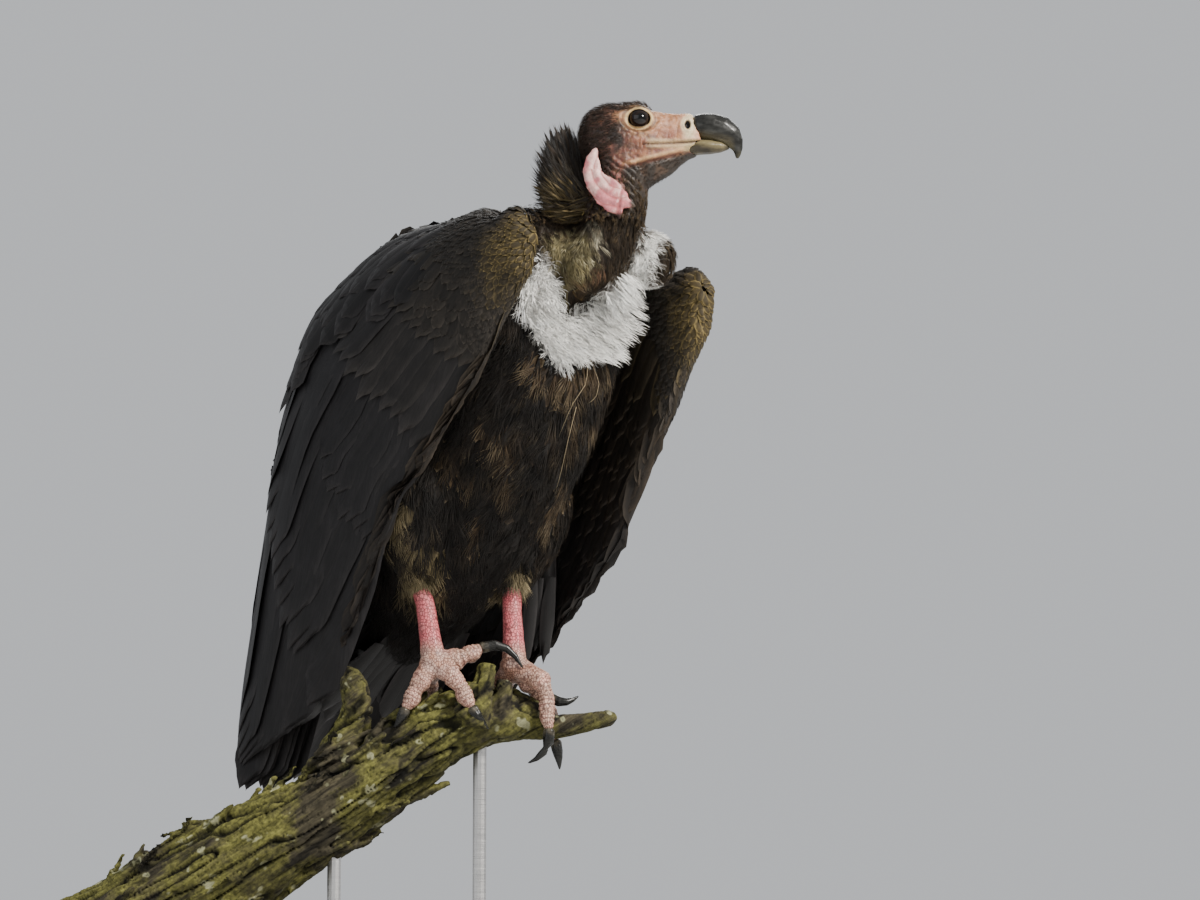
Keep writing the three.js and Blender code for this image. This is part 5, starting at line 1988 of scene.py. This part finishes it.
@dataclass
class Skin:
    """The bird's one skin: bare on head, neck and feet, and under the plumage elsewhere."""

    head_grid: float = 0.001
    leg_grid: float = 0.0011
    body_grid: float = 0.005
    neck_cut: float = 374  # where the bare shell sinks into the feathered neck
    finishes: list[Material] = field(default_factory=lambda: [finish.material() for finish in SKIN_FINISHES])

    def build(self) -> Piece:
        """Shapes the regions, joins them into one surface and paints it."""
        skin = self.body()
        unite(skin, self.head(), *(self.leg(foot) for foot in FEET))
        skin.name = "skin"
        self.paint(skin)
        nodes = ["trunk", "neck", "head", "cere", *LAPPETS]
        for side in Side:
            nodes += [f"{part}_{side.word}" for part in ("thigh", "tarsus")]
            nodes += [f"toe_{side.word}_{toe}" for toe in TOE_NAMES]
            nodes += [f"wing_{side.word}_{part}" for part in ("coverts", "secondaries")]
        return show(skin, "red_skin", *nodes)

    def mark(self, piece: Piece, region: Region) -> None:
        """Gives every face of a piece its region's material."""
        for finish in self.finishes:
            piece.data.materials.append(finish)
        piece.data.polygons.foreach_set("material_index", [region.value] * len(piece.data.polygons))

    def body(self) -> Piece:
        """Shapes the feathered part, as far inside the frame's solids as the coat is deep."""
        nodes = ["trunk", "neck", "thigh_right", "thigh_left", "wing_right_coverts", "wing_left_coverts"]
        piece = solid_from(nodes, "body_skin")
        remesh(piece, self.body_grid)
        biggest(piece)
        mesh = piece.data
        relax(mesh, 6)
        points, normals = corners(mesh), corner_normals(mesh)
        tree = BVHTree.FromPolygons(points.tolist(), [tuple(face.vertices) for face in mesh.polygons])
        thick = [tree.ray_cast(p, n, 0.3)[3] for p, n in
                 zip((points - normals * 0.0004).tolist(), (-normals).tolist())]
        thick = np.array([0.3 if t is None else t for t in thick])
        mm = unplace(points)
        deep = 7 - 2.5 * smooth(300, 340, mm[:, 2]) - 3.6 * smooth(100, 66, mm[:, 2])
        points -= normals * np.minimum(deep * MM, 0.36 * thick)[:, None]
        move_corners(mesh, points)
        relax(mesh, 3)
        self.mark(piece, Region.FEATHERED)
        return piece

    def head(self) -> Piece:
        """Shapes the bare head and neck, with eyelids, brow, gape, nostrils and folds."""
        neck = solid_from(["neck"], "neck_top")
        with shaping(neck.data) as shape:
            level = place(np.array([0, 0, self.neck_cut]))
            bmesh.ops.bisect_plane(shape, geom=[*shape.verts, *shape.edges, *shape.faces], plane_co=level,
                                   plane_no=(0, 0, 1), clear_inner=True)
            bmesh.ops.holes_fill(shape, edges=[edge for edge in shape.edges if edge.is_boundary])
        piece = solid_from(["head", "cere", "eye_right", "eye_left", *LAPPETS], "head_skin")
        with shaping(piece.data) as shape:
            shape.from_mesh(neck.data)
        bpy.data.objects.remove(neck)
        remesh(piece, self.head_grid)
        biggest(piece)
        relax(piece.data, 12, keep=True)
        relax(piece.data, 3)
        lappets = Hull.of(LAPPETS, 0.0012, 2)
        on_lappet = smooth(1.8, 0.6, lappets.outside_by(corners(piece.data)) / MM)
        self.sculpt_head(piece.data, on_lappet)
        self.mark(piece, Region.HEAD)
        return piece

    def sculpt_head(self, mesh: Mesh, on_lappet: Array) -> None:
        """Models the head's folds by moving its points; on_lappet says which of them are on a lappet."""
        points = unplace(corners(mesh))
        normals = corner_normals(mesh)
        ahead, left, above = head_frame(points)
        for tip, pull in (((-18.5, -83), (1.5, -7.5)), ((-8.5, -77.5), (5.5, -2)), ((-13, -83), (-0.5, 2))):
            near = on_lappet * np.exp(-((ahead - tip[0]) ** 2 + (above - tip[1]) ** 2) / 8)
            ahead, above = ahead + pull[0] * near, above + pull[1] * near
        opening = np.array(EYE_OPENING)
        round_eye = np.hypot(ahead / opening[0], above / opening[1])
        beside = smooth(3, 8, np.abs(left))
        # Points crowd towards the lids' edge, so that it comes out crisp.
        off = np.clip((round_eye - 1) / 0.5, -1, 1)
        crowd = np.where(np.abs(off) < 1, 1 + 0.5 * off * np.abs(off) ** 0.7, round_eye)
        crowd = 1 + (crowd / np.maximum(round_eye, 0.05) - 1) * beside
        ahead, above = ahead * crowd, above * crowd
        round_eye = np.hypot(ahead / opening[0], above / opening[1])
        angle = np.arctan2(above, ahead)
        ball = EYE_OUT + np.sqrt(np.maximum(EYE_RADIUS**2 - ahead**2 - above**2, 0))
        lid = np.maximum(ball, 12.5) + 1
        out = np.abs(left)
        near = smooth(1.75, 1.12, round_eye) * beside
        out = out + (lid - out) * near
        out += beside * 0.55 * hump(1.13, 0.16, round_eye)
        out -= beside * 1.25 * hump(1.6, 0.26, round_eye) * (0.55 + 0.45 * smooth(3, -3, above))
        out += beside * 0.75 * hump(1.92, 0.3, round_eye) * smooth(5, -4, above)
        out += beside * 0.3 * np.sin(17 * angle + 2.5 * np.sin(3 * angle)) * hump(2.15, 0.85, round_eye)
        out -= beside * 5.5 * smooth(1, 0.9, round_eye)
        brow = hump(11.5 - 0.1 * (ahead - 2), 4.6, above) * smooth(-20, -6, ahead) * smooth(30, 16, ahead)
        out += beside * 1.7 * brow
        left = np.sign(left) * out
        points = on_head(ahead, left, above)
        gape = over_gape(ahead, above)
        on_gape = smooth(1.5, 5, ahead) * smooth(56, 52, ahead)
        push = -1.5 * hump(0, 1.7, gape) * on_gape
        push += 0.7 * (hump(2.4, 2.2, gape) + hump(-2.6, 2.2, gape)) * on_gape
        corner = hump(0, 6, above + 23.5) * hump(2, 5, ahead)
        push += 0.8 * corner * np.cos(np.clip((ahead - 1.5) * 1.6, -6, 6))
        jaw = over_jaw(ahead, above)
        push += 1.5 * hump(3, 3.8, jaw) * smooth(-16, -6, ahead) * smooth(42, 34, ahead)
        push -= 1.2 * hump(-1.5, 3, jaw) * smooth(-14, -4, ahead) * smooth(42, 34, ahead)
        edge_of_cere = hump(CERE_FROM + 0.12 * above, 1.4, ahead) * smooth(-20, -14, above)
        push -= 0.35 * edge_of_cere * (np.abs(left) > 1.5)
        nostril = np.hypot((ahead - NOSTRIL[0]) / 2.3, (above - NOSTRIL[1]) / 4)
        push -= 3.4 * smooth(1.15, 0.65, nostril) * beside
        push += 0.7 * hump(1.45, 0.45, nostril) * beside
        crease = 1 - np.abs(mottle(points, 6, 20)) * 3.4
        fold = 1 - np.abs(mottle(points * (1, 1, 1.6), 3.2, 21)) * 3.2
        calm = smooth(1.5, 2.1, round_eye) * smooth(CERE_FROM + 4, CERE_FROM - 4, ahead)
        smooth_jaw = 1 - 0.6 * smooth(-22, -26, above) * smooth(0, 8, ahead)
        push -= (0.42 * np.clip(crease, 0, 1) + 0.3 * np.clip(fold, 0, 1)) * calm * smooth_jaw
        warts = smooth(0.1, 0.45, mottle(points, 2.6, 22)) * smooth(4, -12, ahead)
        push += 0.55 * warts * calm * (above < 6)
        push += 0.9 * mottle(points, 13, 23) * smooth(-28, -44, above)
        loose = smooth(-56, -44, ahead) * smooth(6, -8, ahead) * smooth(-30, -44, above)
        wave = np.sin(1.15 * (0.82 * above + 0.57 * ahead) + 2.2 * mottle(points, 9, 27))
        push += loose * (0.75 * wave - 0.9 * smooth(0.7, 1, -wave))
        push = push * (1 - on_lappet) + lappet_folds(points)[0] * on_lappet
        move_corners(mesh, place(points + normals * push[:, None]))

    def leg(self, foot: Foot) -> Piece:
        """Shapes one bare shank and foot, with swollen joints, pads and scutes."""
        word = foot.side.word
        piece = solid_from([f"tarsus_{word}", *(f"toe_{word}_{toe}" for toe in TOE_NAMES)], "leg_skin")
        self.add_palm(piece, foot)
        remesh(piece, self.leg_grid)
        biggest(piece)
        relax(piece.data, 10, keep=True)
        relax(piece.data, 4)
        points, normals = unplace(corners(piece.data)), corner_normals(piece.data)
        on_toe, share, reach = toe_rings(points, foot)
        above = smooth(0, 0.5, normals[:, 2] + 0.45)
        plate = np.abs(np.sin(reach * math.pi / RING))
        push = on_toe * above * smooth(0.38, 0.55, share) * 0.8 * (plate**0.6 - 0.6)
        joints = 0.8 * hump(0.42, 0.14, share) + 0.7 * hump(0.72, 0.12, share) - 0.7 * hump(0.58, 0.1, share)
        push += on_toe * joints
        push += on_toe * (1 - above) * 1.5 * np.abs(np.sin(3.2 * math.pi * share))
        push += 0.3 * mottle(points, 7, 24)
        move_corners(piece.data, place(points + normals * push[:, None]))
        self.mark(piece, Region.LEG)
        return piece

    def add_palm(self, piece: Piece, foot: Foot) -> None:
        """Joins a palm and the toes' thick roots to a foot's solids."""
        with shaping(piece.data) as shape:
            sole = Vector(place(np.array(foot.sole, float)))
            palm = Matrix.Translation(sole) @ Matrix.Diagonal((13 * MM, 13 * MM, 10 * MM, 1))
            bmesh.ops.create_icosphere(shape, subdivisions=3, radius=1, matrix=palm)
            for toe in foot.toes:
                add_rod(shape, foot.sole, toe.knuckle, (10.5, 8.2), 20)

    def paint(self, skin: Piece) -> None:
        """Writes the markings of each region into the skin's colour attribute."""
        mesh = skin.data
        points = unplace(corners(mesh))
        faces = whole_numbers(mesh.polygons, "material_index")
        loops = whole_numbers(mesh.loops, "vertex_index")
        sizes = whole_numbers(mesh.polygons, "loop_total")
        region = np.zeros(len(points), np.int32)
        region[loops] = np.repeat(faces, sizes)
        colours = np.tile(COLOURS.black, (len(points), 1))
        body, head, leg = (region == r.value for r in (Region.FEATHERED, Region.HEAD, Region.LEG))
        colours[body] = body_colours(points[body])[0] * 0.8
        colours[head] = head_colours(points[head])
        colours[leg] = leg_colours(points[leg])
        lappets = Hull.of(LAPPETS, 0.0012, 2)
        on_lappet = np.zeros(len(points))
        on_lappet[head] = smooth(1.7, 0.9, lappets.outside_by(place(points[head])) / MM)
        colours = blend(colours, lappet_colours(points), on_lappet)
        starts = np.concatenate([[0], np.cumsum(sizes)[:-1]])
        faces[np.add.reduceat(on_lappet[loops], starts) / sizes > 0.5] = Region.LAPPET.value
        mesh.polygons.foreach_set("material_index", faces)
        add_tint(mesh, colours)
        places = spread_out(np.stack([np.arctan2(points[:, 0], 40 - lean_of(points)[1]), points[:, 2]], 1))
        add_layer(mesh, "OFBake", places[loops])


def refined(nodes: Sequence[str], name: str, grid: float, rounds: int) -> Piece:
    """A smooth copy of CAD nodes on a fine grid, at the same size."""
    piece = solid_from(nodes, name)
    remesh(piece, grid)
    relax(piece.data, rounds, keep=True)
    return piece


@dataclass
class Bill:
    """The hooked horn bill."""

    grid: float = 0.0007

    def build(self) -> None:
        """Shapes both halves and paints them paler at the cutting edge and the tip."""
        c = COLOURS
        for part in ("upper", "lower"):
            piece = refined([f"bill_{part}"], f"horn_bill_{part}", self.grid, 40)
            points = unplace(corners(piece.data))
            normals = corner_normals(piece.data)
            ahead, left, above = head_frame(points)
            edge = -16.2 - 0.2 * np.maximum(ahead - 54, 0)
            ridge = hump(0, 2.6, left) * smooth(0.2, 0.8, normals[:, 2] + 0.6 * smooth(70, 80, ahead))
            push = 0.15 * ridge * (part == "upper")
            push -= 0.4 * hump(edge + 3.4, 1.6, above) * smooth(80, 72, ahead)
            push -= 0.04 * smooth(0.6, 0.95, 1 - np.abs(mottle(points * (1, 1, 2), 7, 31)) * 3)
            move_corners(piece.data, place(points + normals * push[:, None]))
            streak = smooth(-0.2, 0.5, mottle(points * (1, 1, 2.2), 9, 30))
            if part == "upper":
                low = smooth(edge + 9, edge + 2, above) * smooth(84, 76, ahead)
                pale = np.maximum(0.75 * smooth(edge + 3.2, edge + 0.6, above) * smooth(84, 78, ahead),
                                  0.6 * smooth(-24, -31, above) * smooth(80, 84, ahead))
                colour = blend(blend(c.horn, (0.027, 0.027, 0.025), streak), (0.062, 0.051, 0.028), 0.8 * low)
                colour = blend(colour, c.horn_pale, pale * (0.5 + 0.5 * streak))
            else:
                lower = smooth(edge - 3, edge - 7, above) * (0.7 + 0.3 * streak)
                colour = blend((0.135, 0.11, 0.056), (0.032, 0.026, 0.017), lower)
                colour = blend(colour, c.horn, 0.8 * smooth(70, 77, ahead))
            add_tint(piece.data, colour)
            piece.data.materials.append(Horn("bill_horn_" + part, 0.3, 160).material())
            show(piece, "horn", f"bill_{part}")


@dataclass
class Eyes:
    """The eyeballs, dark brown with a darker pupil."""

    radius: float = EYE_RADIUS
    out: float = EYE_OUT
    look: float = math.radians(12)  # how far the eyes look ahead of square

    def build(self) -> None:
        """Shapes and paints both balls."""
        for side in Side:
            mesh = bpy.data.meshes.new(f"eyeball_{side.word}")
            with shaping(mesh) as shape:
                bmesh.ops.create_uvsphere(shape, u_segments=40, v_segments=28, radius=self.radius)
            points = corners(mesh)
            gaze = side.value * math.cos(self.look) * LEFT_OF_HEAD + math.sin(self.look) * AHEAD_OF_HEAD
            turn = np.array(Vector(gaze).to_track_quat("Z", "Y").to_matrix())
            off_axis = np.hypot(points[:, 0], points[:, 1])
            front = points[:, 2] > 0
            points[:, 2] += 0.5 * smooth(7, 0, off_axis) * front
            iris = blend((0.012, 0.006, 0.003), (0.004, 0.002, 0.0015), smooth(4, 6.5, off_axis))
            colour = blend(iris, (0.002, 0.002, 0.002), smooth(4.2, 3.8, off_axis) * front)
            colour = blend(colour, (0.008, 0.005, 0.004), np.maximum(smooth(7.2, 7.8, off_axis), 1 - front))
            middle = on_head(np.array(0), np.array(side.value * self.out), np.array(0))
            move_corners(mesh, place(points @ turn.T + middle))
            add_tint(mesh, colour)
            mesh.materials.append(WetEye().material())
            show(link(f"eyeball_{side.word}", mesh), "eye", f"eye_{side.word}")


@dataclass
class Claws:
    """The black curved claws."""

    grid: float = 0.0006

    def build(self) -> None:
        """Shapes and paints each claw, paler at its root."""
        finish = Horn("claw_horn", 0.24, 320).material()
        c = COLOURS
        for foot in FEET:
            for toe, word in zip(foot.toes, TOE_NAMES):
                name = f"{foot.side.word}_{word}"
                piece = refined([f"claw_{name}"], f"horn_claw_{name}", self.grid, 16)
                points = unplace(corners(piece.data))
                stout = 0.8 * smooth(0, 16, np.linalg.norm(points - np.array(toe.point), axis=1))
                points += corner_normals(piece.data) * stout[:, None]
                move_corners(piece.data, place(points))
                away = np.linalg.norm(points - np.array(toe.tip), axis=1)
                colour = blend((0.1, 0.085, 0.06), c.horn, smooth(2, 7, away + 2 * mottle(points, 4, 32)))
                add_tint(piece.data, colour)
                piece.data.materials.append(finish)
                show(piece, "horn", f"claw_{name}")


@dataclass
class Bristles:
    """Dark bristles: long on crown, nape and ears, short on the throat."""

    dark: Colour = (0.02, 0.012, 0.008)
    pale: Colour = (0.058, 0.036, 0.022)

    @staticmethod
    def crown(points: Array) -> Array:
        """How thick the long bristles of crown, nape and ear stand."""
        ahead, _, above = head_frame(points)
        share = smooth(24, 2, ahead) * smooth(7, 13, above)
        share = np.maximum(share, smooth(-20, -34, ahead) * smooth(-62, -50, above))
        return np.maximum(share, 0.9 * hump(-28, 16, ahead) * hump(-12, 18, above))

    @staticmethod
    def throat(points: Array) -> Array:
        """How thick the short ones of throat and neck stand."""
        ahead, _, above = head_frame(points)
        share = smooth(-0.5, -5, over_jaw(ahead, above)) * smooth(-12, 2, ahead)
        return np.maximum(0.6 * share, smooth(-62, -80, above))

    def build(self) -> None:
        """Scatters and lays them."""
        hull = Hull.of(["head", "cere", "eye_right", "eye_left", "neck"], 0.002, 4)
        coat = Plumage("head_bristles", PlumeFinish("bristle", 0.7, 0, 0.1), round_head)
        flow = -0.8 * AHEAD_OF_HEAD + np.array([0, 0, -0.3])
        for seed, spacing, share, size, tip in ((150, 1.25, self.crown, (5, 10), 3.2),
                                                (155, 1.6, self.throat, (3.5, 7), 1.4)):
            draw = default_rng(seed)

            def keep(points: Array, normals: Array) -> Array:
                """Where a draw falls under the share wanted there."""
                return (draw.random(len(points)) < share(points)) & (points[:, 2] > 378)

            roots, _ = hull.scatter(spacing, seed + 1, keep)
            rng = default_rng(seed + 2)
            ahead, _, _ = head_frame(unplace(roots))
            nape = 1 + 0.6 * smooth(-30, -44, ahead) * (seed == 150)
            lay = comb(hull, roots, lambda _: flow,
                       rng.uniform(*size, len(roots)) * nape, 2.4, (-0.8, tip * nape), 2,
                       rng.normal(0, 0.45, len(roots)))
            coat.add(plume(2, 2, 0.2, 0.8, seed + 3, 0.2, 0.1), lay, self.dark, self.pale, seed=2)
        show(coat.build(), "red_skin")


# ---- perch, stand and studio ----


# The low end, the top and the radius of each torn shiver at the branch's bend.
SHIVERS = (((-19, -20, -54), (-9, -25, 1), 13), ((-29, -13, -46), (-22, -19, -16), 9),
           ((6, -24, -46), (9, -28, -12), 12))


@dataclass
class Perch:
    """The cut length of weathered, mossy branch."""

    grid: float = 0.0019
    butt: Spot = (-249, 249, -247)
    bend: Spot = (-24, 24, -57)
    splinters: int = 54

    def build(self) -> Piece:
        """Cuts fibres, cracks and splinters into the branch and paints shade into its cracks and underside.
        """
        piece = solid_from(["perch_branch"], "branch")
        self.add_splinters(piece)
        remesh(piece, self.grid)
        biggest(piece)
        relax(piece.data, 3, keep=True)
        mesh = piece.data
        points, normals = unplace(corners(mesh)), corner_normals(mesh)
        axis = unit(np.array(self.bend) - np.array(self.butt))
        along = points @ axis
        squeezed = points - (along * 0.92)[:, None] * axis + 4 * mottle(points, 40, 40)[:, None]
        ridges = 1 - np.abs(mottle(squeezed, 13, 41)) * 2.4
        strands = 1 - np.abs(mottle(squeezed, 6.5, 42)) * 2.2
        fibres = mottle(squeezed, 3.6, 46)
        flakes = np.abs(mottle(points, 8, 44))
        far_end = smooth(30, 90, points @ LEFT_FRONT)
        crack = smooth(0.74, 1, ridges)
        split = smooth(0.7, 1, strands)
        push = 3 * mottle(squeezed, 24, 43) - 5.5 * crack - 2.2 * split + 1.4 * fibres + 2 * flakes
        push *= (1 - 0.6 * far_end) * (1 - 0.6 * smooth(46, 62, to_line(points, self.butt, self.bend)[0]))
        move_corners(mesh, place(points + normals * push[:, None]))
        relax(mesh, 1, 0.25)
        # Painted shade: darker in the cracks, splits and sunken places, and darker again on the underside.
        crack_shade = np.clip(0.75 + 0.05 * push - 0.62 * crack - 0.35 * split, 0.06, 1.15)
        under = 0.5 + 0.5 * smooth(-0.7, 0.25, normals[:, 2])
        add_tint(mesh, np.repeat((crack_shade * under)[:, None], 3, axis=1))
        mesh.materials.append(MossyBark().material())
        return show(piece, "bark", "perch_branch")

    def add_splinters(self, piece: Piece) -> None:
        """Joins long, pointed shivers of wood to the branch, most of them along its upper and lower edge."""
        rng = default_rng(45)
        surface = Hull.of(["perch_branch"], 0.003, 2)
        toward = unit(np.array([-1, -1, 0]))
        run = np.array(self.bend) - np.array(self.butt)
        axis = unit(run)
        upright = unit(np.cross(axis, toward))
        upright *= np.sign(upright[2])
        with shaping(piece.data) as shape:
            for number in range(self.splinters):
                share = rng.uniform(0.1, 1)
                out = unit(upright * (1, -1, 0.25)[number % 3] + toward * rng.normal(0.15, 0.45))
                (at,), (normal,) = surface.settle(place(self.butt + run * share + out * 34)[None, :])
                length, radius = rng.uniform(26, 56), rng.uniform(4.5, 8.5)
                way = 1 if share < 0.35 else rng.choice([1, 1, -1])
                heading = unit(axis * way + normal * rng.choice([0.2, 0.35, 0.6]))
                turn = Vector(heading).to_track_quat("Z", "Y").to_matrix().to_4x4()
                flat = Matrix.Diagonal((1, rng.uniform(0.45, 0.7), 1, 1))
                centre = Matrix.Translation(at + normal * (0.3 * radius * MM))
                bmesh.ops.create_cone(shape, cap_ends=True, segments=7, depth=length * MM,
                                      radius1=radius * MM, radius2=0.4 * radius * MM,
                                      matrix=centre @ turn @ flat)
            for low, top, radius in SHIVERS:
                add_rod(shape, low, top, (radius, 0.6 * radius), 7)


@dataclass
class Stand:
    """The turned plinth and the two steel rods, as the frame makes them."""

    def dress(self) -> None:
        """Gives the frame's own nodes their finishes."""
        self.coat("stand_base", TurnedWood().material())
        steel = BrushedSteel().material()
        for number in (1, 2):
            self.coat(f"stand_rod_{number}", steel)

    def coat(self, node: str, material: Material) -> None:
        """Puts one material on a frame node."""
        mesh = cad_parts[node].data
        mesh.materials.clear()
        mesh.materials.append(material)


@dataclass
class Studio:
    """A pale floor, soft lights and the camera."""

    eye: Spot = (-2.42396, -2.62766, 0.07598)
    target: Spot = (0.09685, -0.10685, 0.577)
    lens: float = 122.73

    def build(self) -> None:
        """Sets them all up."""
        mesh = bpy.data.meshes.new("floor")
        with shaping(mesh) as shape:
            bmesh.ops.create_grid(shape, x_segments=1, y_segments=1, size=24)
        mesh.materials.append(StudioPaper().material())
        link("floor", mesh)
        world = bpy.data.worlds.new("studio")
        world.use_nodes = True
        background = world.node_tree.nodes["Background"]
        background.inputs["Color"].default_value = (0.78, 0.8, 0.83, 1)
        background.inputs["Strength"].default_value = 0.75
        bpy.context.scene.world = world
        self.light("key_light", (0.35, -3.1, 2.7), 0.7, 305, (1, 0.96, 0.9))
        self.light("fill_light", (-3.1, -0.4, 1.7), 2.6, 34, (0.92, 0.95, 1))
        self.light("rim_light", (2.2, 1.6, 2.4), 1.6, 60, (1, 1, 1))
        camera = bpy.data.cameras.new("camera")
        camera.lens = self.lens
        camera.sensor_width = 36
        holder = self.aimed("camera", camera, self.eye)
        bpy.context.scene.camera = holder

    def aimed(self, name: str, data: bpy.types.ID, at: Sequence[float]) -> Piece:
        """Puts a lamp or camera in the scene, turned to the bird."""
        holder = bpy.data.objects.new(name, data)
        holder.location = at
        holder.rotation_euler = (Vector(self.target) - Vector(at)).to_track_quat("-Z", "Y").to_euler()
        bpy.context.scene.collection.objects.link(holder)
        return holder

    def light(self, name: str, at: Sequence[float], size: float, power: float, colour: Colour) -> None:
        """Adds one soft area light."""
        lamp = bpy.data.lights.new(name, "AREA")
        lamp.size = size
        lamp.energy = power
        lamp.color = colour
        self.aimed(name, lamp, at)


def main() -> None:
    """Builds the model."""
    logging.basicConfig(level=logging.INFO, format="%(message)s")
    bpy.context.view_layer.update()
    Skin().build()
    Bill().build()
    Eyes().build()
    Claws().build()
    Bristles().build()
    wings = [Wing(Side.RIGHT, 0), Wing(Side.LEFT, FAR_WING_DROP)]
    for wing in wings:
        wing.flights()
        wing.small_feathers()
    coat = BodyCoat(wings)
    coat.contours()
    coat.plumes()
    coat.breast_down()
    coat.crop_fur()
    coat.mantle()
    coat.cuffs()
    coat.tail()
    coat.strays()
    Ruff().build()
    Perch().build()
    Stand().dress()
    Studio().build()


if __name__ == "__main__":
    main()
